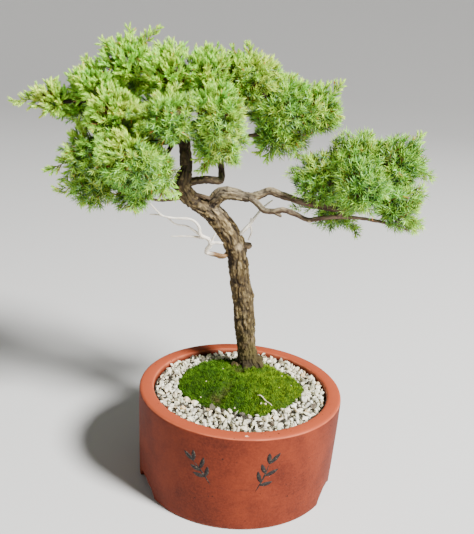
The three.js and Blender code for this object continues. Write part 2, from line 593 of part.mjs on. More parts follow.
// The rule for a bunch: a small angular core, shoots drawn out of faces that lie well apart on all
// sides of it, except where one would reach into a neighbouring bunch, and a pointed tuft on the rest.
function bunchForm(bunch, seed) {
  const random = randomFrom(seed);
  const edges = edgesOf(bunch);
  const { middle, reach } = bunch;
  const staysInside = (point) => {
    const arm = point.clone().sub(middle);
    return edges.every(({ way, distance }) => arm.dot(way) < distance);
  };
  const turn = new THREE.Euler(random() * 6, random() * 6, random() * 6);
  const roomAlong = (way) => (
    Math.min(...edges.map((edge) => edge.distance / Math.max(0.01, way.dot(edge.way)))));
  const core = blockForm(turn, (way) => {
    const room = roomAlong(way);
    return room < reach * MEETING_REACH ? room : reach * CORE_REACH * (0.85 + 0.3 * random());
  }, middle);
  const open = core.triangles.map((face) => {
    const root = new THREE.Vector3();
    for (const corner of face) root.addScaledVector(core.corners[corner], 1 / 3);
    const way = root.clone().sub(middle).normalize();
    return { face, root, way, order: Math.min(roomAlong(way), reach * 2) + reach * random() };
  });
  const drawn = [];
  const draw = ({ face, root, way }, tip, spacing, bound) => {
    const from = root.clone().addScaledVector(way, STEM_RADIUS * 0.5);
    const belly = from.clone().lerp(tip, 0.5).addScaledVector(way, 0.5);
    belly.z -= SHOOT_SAG;
    const line = new THREE.QuadraticBezierCurve3(from, belly, tip);
    const shoot = drawShoot(core, face, line, spacing, random);
    if (bound && !shoot.corners.every(staysInside)) return;
    core.corners.push(...shoot.corners);
    core.triangles = core.triangles.filter((other) => other !== face).concat(shoot.triangles);
    drawn.push(way);
  };
  for (const [x, y, z] of LONG_SHOOTS[bunch.name] ?? []) {
    const tip = new THREE.Vector3(x, y, z);
    const toTip = tip.clone().sub(middle).normalize();
    open.sort((one, other) => other.way.dot(toTip) - one.way.dot(toTip));
    draw(open.shift(), tip, LONG_SPACING, false);
  }
  open.sort((one, other) => other.order - one.order);
  for (const place of open) {
    const apart = drawn.every((way) => way.angleTo(place.way) > SHOOTS_APART);
    if (!apart || drawn.length >= SHOOTS_MOST) continue;
    const tip = middle.clone().addScaledVector(place.way, reach * (0.82 + 0.14 * random()));
    draw(place, tip, WHORL_SPACING, true);
  }
  for (const { face, root, way } of open.filter(({ face: free }) => core.triangles.includes(free))) {
    const room = roomAlong(way) - root.distanceTo(middle);
    const length = Math.min(room, reach * TUFT_REACH * (0.7 + 0.6 * random()));
    if (length < STEM_RADIUS) continue;
    const [a, b, c] = face;
    const tip = core.corners.push(root.clone().addScaledVector(way, length)) - 1;
    core.triangles = core.triangles.filter((other) => other !== face);
    core.triangles.push([a, b, tip], [b, c, tip], [c, a, tip]);
  }
  return core;
}

// How often a closed form goes round a place: once inside it, and twice where it passes through itself
function timesRound(place, { corners, triangles }) {
  let turns = 0;
  for (const triangle of triangles) {
    const [a, b, c] = triangle.map((corner) => corners[corner].clone().sub(place));
    const [p, q, r] = [a.length(), b.length(), c.length()];
    const flat = p * q * r + a.dot(b) * r + b.dot(c) * p + c.dot(a) * q;
    turns += Math.atan2(a.dot(b.cross(c)), flat) / (2 * Math.PI);
  }
  return turns;
}

// A form passes through itself where the place just behind one of its faces isn't inside it once
function passesThroughItself(form) {
  return form.triangles.some((triangle) => {
    const [a, b, c] = triangle.map((corner) => form.corners[corner]);
    const out = b.clone().sub(a).cross(c.clone().sub(a)).normalize();
    const behind = a.clone().add(b).add(c).divideScalar(3).addScaledVector(out, -BEHIND_FACE);
    return Math.abs(timesRound(behind, form) - 1) > 0.5;
  });
}

// Each bunch is drawn again from another seed while it passes through itself, and then cut to sit on
// its limb.
const woodHole = fuse([
  trunkForm(HOLE_GAP), ...bareForms(HOLE_GAP), ...hiddenForms(HOLE_GAP), ...deadForms(DEAD_LEFT, HOLE_GAP),
]);
for (const [i, bunch] of BUNCHES.entries()) {
  let seed = 200 + i;
  let form = bunchForm(bunch, seed);
  while (passesThroughItself(form)) {
    seed += BUNCHES.length;
    form = bunchForm(bunch, seed);
  }
  const solid = closedSolid(form.corners.map((corner) => corner.toArray()), form.triangles);
  addPiece(`foliage_${bunch.name}`, solid.subtract(woodHole), { color: 0x6f9a3a, roughness: 0.7 });
}

// The origin goes under the middle of the whole object's box, on the surface that the pot stands on.
const bounds = new THREE.Box3().setFromObject(bonsai, true);
const centre = bounds.getCenter(new THREE.Vector3());
bonsai.position.set(-centre.x, -centre.y, -bounds.min.z);

export default bonsai;
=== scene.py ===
import math

import bmesh
import bpy
import numpy as np
from mathutils import Matrix, Vector


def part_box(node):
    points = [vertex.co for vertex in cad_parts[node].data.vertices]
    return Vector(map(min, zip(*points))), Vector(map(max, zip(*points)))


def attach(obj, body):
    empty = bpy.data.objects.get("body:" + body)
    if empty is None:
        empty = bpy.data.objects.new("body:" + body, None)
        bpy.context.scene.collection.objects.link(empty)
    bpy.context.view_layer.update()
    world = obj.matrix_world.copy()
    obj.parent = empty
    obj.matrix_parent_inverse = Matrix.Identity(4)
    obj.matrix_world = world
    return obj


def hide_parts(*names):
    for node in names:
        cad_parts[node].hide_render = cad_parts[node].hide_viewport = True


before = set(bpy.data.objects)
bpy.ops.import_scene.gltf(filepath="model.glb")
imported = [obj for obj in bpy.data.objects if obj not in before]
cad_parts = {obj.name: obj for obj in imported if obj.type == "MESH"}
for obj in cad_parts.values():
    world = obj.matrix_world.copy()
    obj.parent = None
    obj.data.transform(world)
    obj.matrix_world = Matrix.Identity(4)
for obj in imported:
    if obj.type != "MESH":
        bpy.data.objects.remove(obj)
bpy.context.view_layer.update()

# The pot. One wheel-thrown piece of unglazed red-brown clay: a plain wall, a flat rim with an inward lip,
# a raised floor with a drain hole, and a foot ring in which three arches were cut by hand before firing.
# Its shape is in millimetres about its own axis, with the ground at 0, as everything below is.
pot_low, pot_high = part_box("pot")
pot_axis = Vector(((pot_low.x + pot_high.x) / 2, (pot_low.y + pot_high.y) / 2, 0))
pot_turns = 360
pot_outline = [
    (11, 13), (80, 13), (89.5, 13), (91.5, 0), (103.8, 0), (105, 1.6), (106.2, 36), (107.4, 73.5),
    (108, 102.3), (107.3, 104.2), (105.2, 105), (94.9, 105), (92.9, 103.6), (92.5, 96), (97.5, 93),
    (95.5, 24), (92.5, 20), (11, 20),
]
arch_bearings = [-64, 70, 183]
chip_at = [7.8, -102.2, 105]
arch_across = [-23.2, -22.4, -21, -19, -16, -13, -9, -4.5, 0, 5.7, 11, 16, 19.5, 22, 23.2]
arch_height = [0, 3.0, 5.6, 7.6, 10.6, 12.7, 14.3, 14.8, 14.4, 13.2, 11.0, 8.6, 6.4, 2.6, 0]


def shade(red, green, blue):
    """A paint colour as the eye sees it, in the light's own scale."""
    return [((c / 255 + 0.055) / 1.055) ** 2.4 for c in (red, green, blue)] + [1.0]


def uneven(places, size, seed=0):
    """Smooth random heights from -1 to 1 over places, with one rise and fall in each size."""
    at = np.asarray(places, float) / size
    cell = np.floor(at).astype(np.int64)
    part = at - cell
    part = part * part * (3 - 2 * part)
    total = np.zeros(len(at))
    for corner in range(8):
        step = np.array([corner & 1, corner >> 1 & 1, corner >> 2])
        x, y, z = (cell + step).T
        mixed = (x * 73856093 ^ y * 19349663 ^ z * 83492791 ^ (seed + 7) * 50331653) & 0xFFFFFFFF
        mixed = ((mixed ^ mixed >> 15) * 2246822519) & 0xFFFFFFFF
        mixed = ((mixed ^ mixed >> 13) * 3266489917) & 0xFFFFFFFF
        height = ((mixed ^ mixed >> 16) & 0xFFFF) / 32767.5 - 1
        total += height * np.where(step, part, 1 - part).prod(axis=1)
    return total


def rising(value, start, end):
    """0 up to the start, 1 from the end on, and evenly between them."""
    return np.clip((value - start) / (end - start), 0, 1)


def shaped(name, places, faces, finish, smooth=True, **marks):
    """A piece with these corners and faces, and marks: numbers that its finish reads at each of them."""
    mesh = bpy.data.meshes.new(name)
    groups = faces if isinstance(faces, list) else [faces]
    sides = np.concatenate([np.full(len(group), group.shape[1]) for group in groups])
    mesh.vertices.add(len(places))
    mesh.vertices.foreach_set("co", (np.asarray(places) / 1000).astype(np.float32).ravel())
    mesh.loops.add(int(sides.sum()))
    mesh.loops.foreach_set("vertex_index", np.concatenate([g.ravel() for g in groups]).astype(np.int32))
    mesh.polygons.add(len(sides))
    mesh.polygons.foreach_set("loop_start", (np.cumsum(sides) - sides).astype(np.int32))
    mesh.polygons.foreach_set("use_smooth", np.full(len(sides), smooth))
    mesh.update(calc_edges=True)
    for label, values in marks.items():
        where = "POINT" if len(values) == len(places) else "FACE"
        flat = np.ndim(values) == 1
        mark = mesh.attributes.new(label, "FLOAT" if flat else "FLOAT_VECTOR", where)
        mark.data.foreach_set("value" if flat else "vector", np.asarray(values, np.float32).ravel())
    mesh.materials.append(finish)
    piece = bpy.data.objects.new(name, mesh)
    piece.location = pot_axis
    bpy.context.scene.collection.objects.link(piece)
    return piece


def ring_faces(rings, sides, closed_rings=False):
    """Four-sided faces between rings of corners, each ring joined to the next."""
    ring, side = np.meshgrid(np.arange(rings if closed_rings else rings - 1), np.arange(sides), indexing="ij")
    low, high = ring * sides, (ring + 1) % rings * sides
    after = (side + 1) % sides
    return np.stack([low + side, low + after, high + after, high + side], axis=-1).reshape(-1, 4)


def node(tree, kind, inputs=None, **settings):
    made = tree.nodes.new(kind)
    for key, value in settings.items():
        setattr(made, key, value)
    for key, value in (inputs or {}).items():
        if isinstance(value, bpy.types.NodeSocket):
            tree.links.new(value, made.inputs[key])
        else:
            made.inputs[key].default_value = value
    return made


def blended(tree, amount, one, other, how="MIX"):
    """The colour one, with the other laid over it by an amount from 0 to 1."""
    mix = node(tree, "ShaderNodeMix", {0: amount, 6: one, 7: other}, data_type="RGBA", blend_type=how)
    return mix.outputs[2]


def reckoned(tree, how, one, other, third=None):
    values = {0: one, 1: other} if third is None else {0: one, 1: other, 2: third}
    return node(tree, "ShaderNodeMath", values, operation=how).outputs[0]


def tinted(tree, colour, amount, share, paint, how="MIX"):
    """The colour with a paint laid over it, by a share of an amount from 0 to 1."""
    return blended(tree, reckoned(tree, "MULTIPLY", amount, share), colour, shade(*paint), how)


def place_in(tree):
    """Where each point of the surface is, in metres."""
    return node(tree, "ShaderNodeTexCoord").outputs["Object"]


def stretched(tree, place, by):
    return node(tree, "ShaderNodeVectorMath", {0: place, 1: by}, operation="MULTIPLY").outputs[0]


def tones(tree, value, stops):
    """The colours that a value from 0 to 1 runs through."""
    ramp = node(tree, "ShaderNodeValToRGB", {0: value})
    first, last = ramp.color_ramp.elements
    for position, colour in stops[1:-1]:
        ramp.color_ramp.elements.new(position).color = shade(*colour)
    first.position, first.color = stops[0][0], shade(*stops[0][1])
    ramp.color_ramp.elements[-1].position = stops[-1][0]
    ramp.color_ramp.elements[-1].color = shade(*stops[-1][1])
    return ramp.outputs[0]


def new_group(name, takes, gives):
    group = bpy.data.node_groups.new(name, "ShaderNodeTree")
    for label, kind, usual in takes:
        socket = group.interface.new_socket(label, in_out="INPUT", socket_type=kind)
        if usual is not None:
            socket.default_value = usual
    for label in gives:
        group.interface.new_socket(label, in_out="OUTPUT", socket_type="NodeSocketFloat")
    return group, node(group, "NodeGroupInput").outputs, node(group, "NodeGroupOutput").inputs


# Clouding: soft patches of tone, Size millimetres across, where the noise runs from Low to High
clouding, given, tone_out = new_group("clouding", [
    ("Place", "NodeSocketVector", None), ("Size", "NodeSocketFloat", 10.0),
    ("Low", "NodeSocketFloat", 0.35), ("High", "NodeSocketFloat", 0.65),
], ["Tone"])
scale = reckoned(clouding, "DIVIDE", 1000.0, given["Size"])
cloud = node(clouding, "ShaderNodeTexNoise", {
    "Vector": given["Place"], "Scale": scale, "Detail": 3.0, "Roughness": 0.6,
})
spread = node(clouding, "ShaderNodeMapRange", {0: cloud.outputs[0], 1: given["Low"], 2: given["High"]})
clouding.links.new(spread.outputs[0], tone_out["Tone"])

# Specks: small round spots, a Share of the cells of a Size in millimetres, each Width of its cell across
specks, given, speck_out = new_group("specks", [
    ("Place", "NodeSocketVector", None), ("Size", "NodeSocketFloat", 5.0),
    ("Share", "NodeSocketFloat", 0.2), ("Width", "NodeSocketFloat", 0.25),
], ["Mask"])
scale = reckoned(specks, "DIVIDE", 1000.0, given["Size"])
cells = node(specks, "ShaderNodeTexVoronoi", {"Vector": given["Place"], "Scale": scale})
lot = node(specks, "ShaderNodeSeparateColor", {0: cells.outputs["Color"]}).outputs[0]
inside = reckoned(specks, "LESS_THAN", cells.outputs["Distance"], given["Width"])
chosen = reckoned(specks, "LESS_THAN", lot, given["Share"])
specks.links.new(reckoned(specks, "MULTIPLY", inside, chosen), speck_out["Mask"])


def tone_of(tree, group, **values):
    """A group's first output, with its inputs set."""
    made = node(tree, "ShaderNodeGroup", values, node_tree=group)
    return made.outputs[0]


def finish_of(name, roughness, specular=0.5):
    finish = bpy.data.materials.new(name)
    finish.use_nodes = True
    surface = finish.node_tree.nodes["Principled BSDF"]
    surface.inputs["Roughness"].default_value = roughness
    surface.inputs["Specular IOR Level"].default_value = specular
    return finish, finish.node_tree, surface


def painted(tree, surface, colour):
    tree.links.new(colour, surface.inputs["Base Color"])


def relief(tree, surface, height, depth):
    """Small relief on a surface, depth in millimetres for a height from 0 to 1."""
    bump = node(tree, "ShaderNodeBump", {"Height": height, "Distance": depth / 1000, "Strength": 1.0})
    tree.links.new(bump.outputs[0], surface.inputs["Normal"])


def mark_of(tree, name, kind="Fac"):
    return node(tree, "ShaderNodeAttribute", attribute_name=name).outputs[kind]


clay, tree, surface = finish_of("fired_clay", 0.66, 0.2)
place = place_in(tree)
band_place = stretched(tree, place, (14, 14, 620))
bands = node(tree, "ShaderNodeTexNoise", {"Vector": band_place, "Scale": 1.0, "Detail": 3.0}).outputs[0]
streak_place = stretched(tree, place, (44, 44, 230))
streaks = node(tree, "ShaderNodeTexNoise", {"Vector": streak_place, "Scale": 1.0, "Detail": 4.0}).outputs[0]
broad = tone_of(tree, clouding, Place=place, Size=46.0)
colour = tones(tree, broad, [(0, (82, 27, 11)), (0.5, (98, 35, 15)), (1, (114, 44, 20))])
dark_streak = node(tree, "ShaderNodeMapRange", {0: streaks, 1: 0.6, 2: 0.76}).outputs[0]
colour = tinted(tree, colour, dark_streak, 0.42, (52, 20, 13))
fine = tone_of(tree, clouding, Place=place, Size=2.4)
colour = tinted(tree, colour, fine, 0.16, (164, 72, 40))
colour = tinted(tree, colour, bands, 0.14, (150, 66, 44), "MULTIPLY")
smudge = tone_of(tree, clouding, Place=place, Size=13.0, Low=0.62, High=0.74)
colour = tinted(tree, colour, smudge, 0.3, (62, 24, 14))
# Painted light: the rim's top is laid a lighter clay colour, as the light from above falls on it
colour = blended(tree, mark_of(tree, "rim"), colour, shade(174, 80, 48))
# Painted highlight: the rim's outer and inner top corners and the foot's lower edge are laid pale, broken up in
# patches
colour = blended(tree, mark_of(tree, "edge"), colour, shade(214, 122, 86))
pores = tone_of(tree, specks, Place=place, Size=4.2, Share=0.16, Width=0.13)
spots = tone_of(tree, specks, Place=place, Size=15.0, Share=0.6, Width=0.06)
holes = reckoned(tree, "MAXIMUM", pores, spots)
colour = tinted(tree, colour, holes, 0.85, (38, 17, 11))
chip_metres = [part / 1000 for part in chip_at]
to_chip = node(tree, "ShaderNodeVectorMath", {0: place, 1: chip_metres}, operation="DISTANCE")
to_chip = to_chip.outputs["Value"]
ragged = node(tree, "ShaderNodeTexNoise", {"Vector": place, "Scale": 700.0, "Detail": 2.0}).outputs[0]
to_chip = reckoned(tree, "MULTIPLY_ADD", ragged, 0.004, to_chip)
chipped = node(tree, "ShaderNodeMapRange", {0: to_chip, 1: 0.0038, 2: 0.0032}).outputs[0]
colour = blended(tree, chipped, colour, shade(238, 188, 160))
painted(tree, surface, colour)
height = reckoned(tree, "MULTIPLY_ADD", fine, 0.35, reckoned(tree, "MULTIPLY_ADD", holes, -1.2, bands))
relief(tree, surface, height, 0.14)

outline = []
for (r0, z0), (r1, z1) in zip(pot_outline, pot_outline[1:] + pot_outline[:1]):
    length = math.hypot(r1 - r0, z1 - z0)
    eased = min(0.7, length * 0.25) / length
    count = max(1, min(9, round(length / 5)))
    outline += [(r0 + (r1 - r0) * t, z0 + (z1 - z0) * t) for t in np.linspace(eased, 1 - eased, count + 1)]
outline = np.array(outline)
bearings = np.arange(pot_turns) * 2 * np.pi / pot_turns


def arch_over(bearing):
    """How high the nearest arch in the foot ring is at a bearing, in millimetres."""
    high = np.zeros_like(bearing)
    for middle in arch_bearings:
        across = ((bearing - math.radians(middle) + np.pi) % (2 * np.pi) - np.pi) * 105
        waver = 0.5 * np.sin(across * 0.55 + middle) * (abs(across) < 20)
        high = np.maximum(high, np.interp(across, arch_across, arch_height, 0, 0) + waver)
    return high


def out_of_round(bearing, z):
    """What the thrower's hands left: the wall runs in and out a little round the pot."""
    ring = np.stack([np.cos(bearing) * 60, np.sin(bearing) * 60, z * 0.9 + 0 * bearing], axis=-1)
    return 0.3 * uneven(ring.reshape(-1, 3), 38).reshape(np.shape(bearing))


radius, turn = np.meshgrid(outline[:, 0], bearings, indexing="ij")
height = np.meshgrid(outline[:, 1], bearings, indexing="ij")[0]
arch = arch_over(turn)
on_foot = (radius > 79.5) & (height < 30) & ((height < 13.5) | (radius > 98))
raised = np.where(radius > 98, arch + height * (30 - arch) / 30, np.maximum(height, arch))
height = np.where(on_foot, raised, height)
radius = radius + np.where(radius > 50, out_of_round(turn, height), 0)
places = np.stack([radius * np.sin(turn), -radius * np.cos(turn), height], axis=-1)
flat_r, flat_z = outline[:, 0], outline[:, 1]
# Painted light on the rim's top: a mark of 1 on every ring above 103 mm
rim = ((flat_z > 103) * 1.0)[:, None] * np.ones_like(turn)
# Where the painted highlight goes: the rim's top corners, and more faintly the foot's lower edge
on_corner = (abs(flat_r - 107.3) < 0.5) & (flat_z > 103) | (abs(flat_r - 93.1) < 0.5) & (flat_z > 102.6)
low_corner = (abs(flat_r - 104.6) < 0.6) & (flat_z < 2.2)
# Patchy noise: it breaks up the painted highlight along the corners and makes the chip's outline ragged
worn = 0.5 + 0.5 * uneven(places.reshape(-1, 3), 7, 3).reshape(turn.shape)
edge = (on_corner * 0.6 + low_corner * 0.4)[:, None] * worn
from_chip = np.linalg.norm((places - chip_at) * [1, 1, 1.2], axis=-1)
chip = np.clip(1.5 - from_chip / 1.5 + 0.5 * worn, 0, 1)
places[..., 2] -= 0.4 * chip * (flat_z > 100)[:, None]
pot = shaped(
    "pot_clay", places.reshape(-1, 3), ring_faces(len(outline), pot_turns, closed_rings=True), clay,
    rim=rim.ravel() * 0.75, edge=edge.ravel(),
)
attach(pot, "root")
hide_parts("pot")

# The sprigs on the pot's front. Two small sprays of narrow leaves, brushed on the wall in iron-black slip
# before firing. Each stroke is a thin raised line that swells and tapers as the brush was pressed.
sprigs = [
    # bearing, height, heading from level and length of the stem, then leaves as share of stem, turn, length
    (-13, 50, 122, 29, [
        (0.3, 64, 13), (0.34, -52, 12), (0.62, 50, 12), (0.66, -60, 14), (0.98, 24, 13), (0.98, -36, 12),
    ]),
    (11, 46, 62, 33, [
        (0.28, -62, 13), (0.36, 54, 14), (0.6, -46, 15), (0.7, 62, 12), (1.0, -20, 15), (0.98, 38, 12),
    ]),
]
stroke_rings = 13
wall_radius = 107
slip, tree, surface = finish_of("iron_slip", 0.7, 0.3)
place = place_in(tree)
dry = tone_of(tree, clouding, Place=place, Size=2.2, Low=0.4, High=0.7)
colour = tones(tree, dry, [(0, (20, 15, 15)), (0.5, (38, 31, 28)), (1, (84, 78, 62))])
painted(tree, surface, colour)
relief(tree, surface, dry, 0.15)


def stroke(bearing, z, heading, length, width, bend):
    """The corners of one brush stroke, four to a ring, and where its line ends."""
    share = np.linspace(0, 1, stroke_rings)
    heads = np.radians(heading + bend * share)
    across = np.concatenate([[0], np.cumsum(np.cos(heads[1:]))]) * length / (stroke_rings - 1)
    up = np.concatenate([[0], np.cumsum(np.sin(heads[1:]))]) * length / (stroke_rings - 1)
    half = width / 2 * np.maximum(np.sin(np.pi * np.clip(share * 0.94 + 0.05, 0, 1)) ** 0.8, 0.06)
    rings = []
    for side, out in ((-1, -0.05), (0, 0.15), (1, -0.05), (0, -0.5)):
        turn = math.radians(bearing) + (across - np.sin(heads) * half * side) / wall_radius
        high = z + up + np.cos(heads) * half * side
        wall = np.interp(high, [1.6, 36, 73.5, 101], [105, 106.2, 107.4, 108])
        wall = wall + out_of_round(turn, high) + out
        rings.append(np.stack([wall * np.sin(turn), -wall * np.cos(turn), high], axis=-1))
    return np.stack(rings, axis=1).reshape(-1, 3), np.degrees(across / wall_radius) + bearing, z + up


corners, faces, first = [], [], 0
for bearing, z, heading, length, leaves in sprigs:
    stem, along_b, along_z = stroke(bearing, z, heading, length, 2.3, 14)
    strokes = [stem]
    for share, turn, leaf in leaves:
        at = min(stroke_rings - 1, round(share * (stroke_rings - 1)))
        strokes.append(stroke(along_b[at], along_z[at], heading + turn, leaf, 6.0, -turn * 0.35)[0])
    for one in strokes:
        sides = ring_faces(stroke_rings, 4)[:, ::-1]
        last = len(one) - 1
        ends = np.array([[0, 1, 2, 3], [last, last - 1, last - 2, last - 3]])
        corners.append(one)
        faces.append(np.concatenate([sides, ends]) + first)
        first += len(one)
brushed = shaped("brushed_sprigs", np.concatenate(corners), np.concatenate(faces), slip)
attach(brushed, "root")

# The drain mesh. A square of stiff black plastic net that lies over the drain hole inside the pot; only
# its bars show, from below. The net as cut keeps its shape and gets a scuffed plastic finish.
net_plastic, tree, surface = finish_of("net_plastic", 0.45)
place = place_in(tree)
scuffs = tone_of(tree, clouding, Place=place, Size=3.0)
painted(tree, surface, tones(tree, scuffs, [(0, (20, 20, 19)), (1, (46, 45, 42))]))
relief(tree, surface, scuffs, 0.1)
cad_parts["drain_mesh"].data.materials.clear()
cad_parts["drain_mesh"].data.materials.append(net_plastic)

# The soil. Dark, gritty potting soil that fills the pot to below the gravel and stands in a low bed under
# the moss. It keeps the shape that it was packed in, and shows only between stones and from below.
earth, tree, surface = finish_of("potting_soil", 0.95, 0.2)
place = place_in(tree)
crumbs = tone_of(tree, clouding, Place=place, Size=2.6)
grit = tone_of(tree, specks, Place=place, Size=3.2, Share=0.18, Width=0.3)
colour = tones(tree, crumbs, [(0, (24, 18, 14)), (0.5, (52, 39, 29)), (1, (84, 66, 50))])
colour = tinted(tree, colour, grit, 0.7, (150, 136, 116))
painted(tree, surface, colour)
relief(tree, surface, crumbs, 1.2)
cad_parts["soil"].data.materials.clear()
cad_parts["soil"].data.materials.append(earth)

# The gravel. Crushed pale stone, 4 to 8 mm, strewn by hand in a ring between the moss and the rim, a few
# millimetres below it. Each stone is its own sharp-edged chip; they lie in a thin bed of dark grit.
moss_rows = np.array([
    [-66, -9], [-65, 17], [-54, 43], [-34, 62], [-12, 69], [14, 72], [33, 60], [47, 44], [63, 25],
    [69, 4], [58, -20], [41, -39], [24, -53], [4, -52], [-16, -44], [-32, -43], [-52, -31],
], float)
moss_middle = np.array([2.0, 10.0])
stone_reach = 91.6


def closed_line(rows, count):
    """A smooth closed line through rows, as evenly spaced points."""
    t = np.linspace(0, 1, 24, endpoint=False)[:, None]
    before, start, end, after = (np.roll(rows, shift, axis=0) for shift in (1, 0, -1, -2))
    spans = [
        0.5 * (2 * b + (c - a) * t + (2 * a - 5 * b + 4 * c - d) * t**2 + (3 * b - a - 3 * c + d) * t**3)
        for a, b, c, d in zip(before, start, end, after)
    ]
    line = np.concatenate(spans)
    line = np.vstack([line, line[:1]])
    along = np.concatenate([[0], np.cumsum(np.linalg.norm(np.diff(line, axis=0), axis=1))])
    wanted = np.linspace(0, along[-1], count, endpoint=False)
    return np.stack([np.interp(wanted, along, line[:, axis]) for axis in (0, 1)], axis=-1)


moss_line = closed_line(moss_rows, 192)
line_arm = moss_line - moss_middle
line_turn = np.arctan2(line_arm[:, 1], line_arm[:, 0])
line_reach = np.linalg.norm(line_arm, axis=1)
turn_order = np.argsort(line_turn)


def moss_share(x, y):
    """How far a place is from the moss's middle, as a share of the way to its edge."""
    turn = np.arctan2(y - moss_middle[1], x - moss_middle[0])
    reach = np.interp(turn, line_turn[turn_order], line_reach[turn_order], period=2 * np.pi)
    return np.hypot(x - moss_middle[0], y - moss_middle[1]) / reach


stone, tree, surface = finish_of("crushed_stone", 0.8, 0.35)
place = place_in(tree)
kind = mark_of(tree, "kind")
colour = tones(tree, kind, [
    (0, (44, 37, 30)), (0.12, (92, 78, 62)), (0.2, (150, 150, 132)), (0.42, (206, 204, 178)),
    (0.6, (234, 226, 192)), (0.8, (246, 240, 212)), (0.93, (252, 249, 232)), (1, (226, 194, 140)),
])
veins = tone_of(tree, clouding, Place=place, Size=3.4, Low=0.42, High=0.7)
colour = tinted(tree, colour, veins, 0.3, (146, 152, 134))
dust = tone_of(tree, specks, Place=place, Size=1.5, Share=0.2, Width=0.3)
colour = tinted(tree, colour, dust, 0.35, (104, 100, 90))
painted(tree, surface, colour)
relief(tree, surface, veins, 0.5)

chance = np.random.default_rng(11)


def corners_and_faces(form):
    """What a bmesh holds, as arrays. The bmesh is freed."""
    form.verts.index_update()
    corners = np.array([v.co[:] for v in form.verts])
    faces = np.array([[v.index for v in f.verts] for f in form.faces])
    form.free()
    return corners, faces


def chip_shape(sides):
    """One sharp-edged stone of unit size, as corners and three-sided faces."""
    raw = chance.normal(size=(sides, 3))
    raw *= (chance.uniform(0.75, 1.15, sides) / np.linalg.norm(raw, axis=1))[:, None]
    form = bmesh.new()
    for corner in raw:
        form.verts.new(corner)
    bmesh.ops.convex_hull(form, input=form.verts)
    spare = [v for v in form.verts if not v.link_faces]
    bmesh.ops.delete(form, geom=spare, context="VERTS")
    bmesh.ops.recalc_face_normals(form, faces=form.faces)
    return corners_and_faces(form)


def strewn(count, spacing):
    """Places in the ring between moss and rim, none nearer to another than the spacing."""
    kept = np.empty((0, 2))
    for x, y in chance.uniform(-stone_reach, stone_reach, (count * 14, 2)):
        if math.hypot(x, y) > stone_reach - spacing * 0.45 or moss_share(x, y) < 1.02:
            continue
        if len(kept) and np.hypot(*(kept - (x, y)).T).min() < spacing:
            continue
        kept = np.vstack([kept, (x, y)])
        if len(kept) == count:
            break
    return kept


chips = [chip_shape(sides) for sides in (7, 8, 9, 9, 10, 10, 11, 12, 13)]
corners, faces, kinds, first = [], [], [], 0
stone_layers = [(4.0, 99.2, 2.0, 3.0), (5.9, 100.9, 2.5, 4.7), (9.5, 101.6, 3.2, 5.0)]
for spacing, height, small, large in stone_layers:
    for x, y in strewn(1100, spacing):
        shape, cut = chips[chance.integers(len(chips))]
        turn, _ = np.linalg.qr(chance.normal(size=(3, 3)))
        if np.linalg.det(turn) < 0:
            turn[0] *= -1
        size = chance.uniform(small, large)
        size = size * np.array([1, chance.uniform(0.65, 1), chance.uniform(0.55, 0.85)])
        low_in_front = 1.2 * math.exp(-(((x - 8) / 16) ** 2 + ((y + 62) / 9) ** 2))
        lift = chance.uniform(-0.6, 0.4) - low_in_front
        corners.append((shape * size) @ turn + (x, y, height + lift))
        faces.append(cut + first)
        first += len(shape)
        bare = math.exp(-(((x - 8) / 13) ** 2 + ((y + 60) / 8) ** 2))
        bare += math.exp(-(((x + 28) / 15) ** 2 + ((y + 46) / 7) ** 2))
        dirty = chance.uniform() < 0.04 + 0.6 * bare
        kinds.append(np.full(len(cut), chance.uniform(0, 0.14) if dirty else chance.uniform(0.3, 1) ** 0.8))
stone_corners = first

bed_rings, bed_sides = 14, len(moss_line)
bed_top, bed_bottom, bed_reach = 98.6, 88.4, 91.4
share = np.linspace(0, 1, bed_rings)[:, None, None]
inner = moss_middle + line_arm * (1 + 0.4 / line_reach)[:, None]
outer_turn = np.arctan2(inner[:, 1], inner[:, 0])
outer = bed_reach * np.stack([np.cos(outer_turn), np.sin(outer_turn)], axis=-1)
top = (inner * (1 - share) + outer * share).reshape(-1, 2)
rough = bed_top + 0.9 * uneven(np.c_[top, np.zeros(len(top))], 3.2, 5)
top = np.c_[top, rough]
under = top[[*range(bed_sides), *range((bed_rings - 1) * bed_sides, bed_rings * bed_sides)]].copy()
under[:, 2] = bed_bottom
sides = ring_faces(bed_rings, bed_sides)
s = np.arange(bed_sides)
n = (s + 1) % bed_sides
far_top, low_in = (bed_rings - 1) * bed_sides, bed_rings * bed_sides
low_out = low_in + bed_sides
walls = np.concatenate([
    np.stack([far_top + s, far_top + n, low_out + n, low_out + s], axis=-1),
    np.stack([low_out + s, low_out + n, low_in + n, low_in + s], axis=-1),
    np.stack([low_in + s, low_in + n, n, s], axis=-1),
])
corners.append(np.vstack([top, under]))
bed_faces = np.concatenate([sides, walls]) + stone_corners
kinds.append(np.full(len(bed_faces), 0.02))
gravel = shaped(
    "crushed_gravel", np.concatenate(corners), [np.concatenate(faces), bed_faces], stone, smooth=False,
    kind=np.concatenate(kinds),
)
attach(gravel, "root")
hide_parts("gravel")

# The moss. One living mat in two soft lobes round the foot of the trunk, laid on its bed of soil. It is
# made of close cushions, covered all over in short leafy tips that stand up like pile.
lobes = [(-28, 16, 44), (26, 4, 50), (6, 46, 34)]
tip_count = 17000
one_blade = np.array([[0, 1, 3], [1, 2, 3], [2, 0, 3], [0, 2, 1]])


def repeated(faces, count):
    """The faces of one small form, for a count of such forms whose corners follow each other."""
    starts = np.arange(count) * (faces.max() + 1)
    return (faces[None] + starts[:, None, None]).reshape(-1, faces.shape[1])


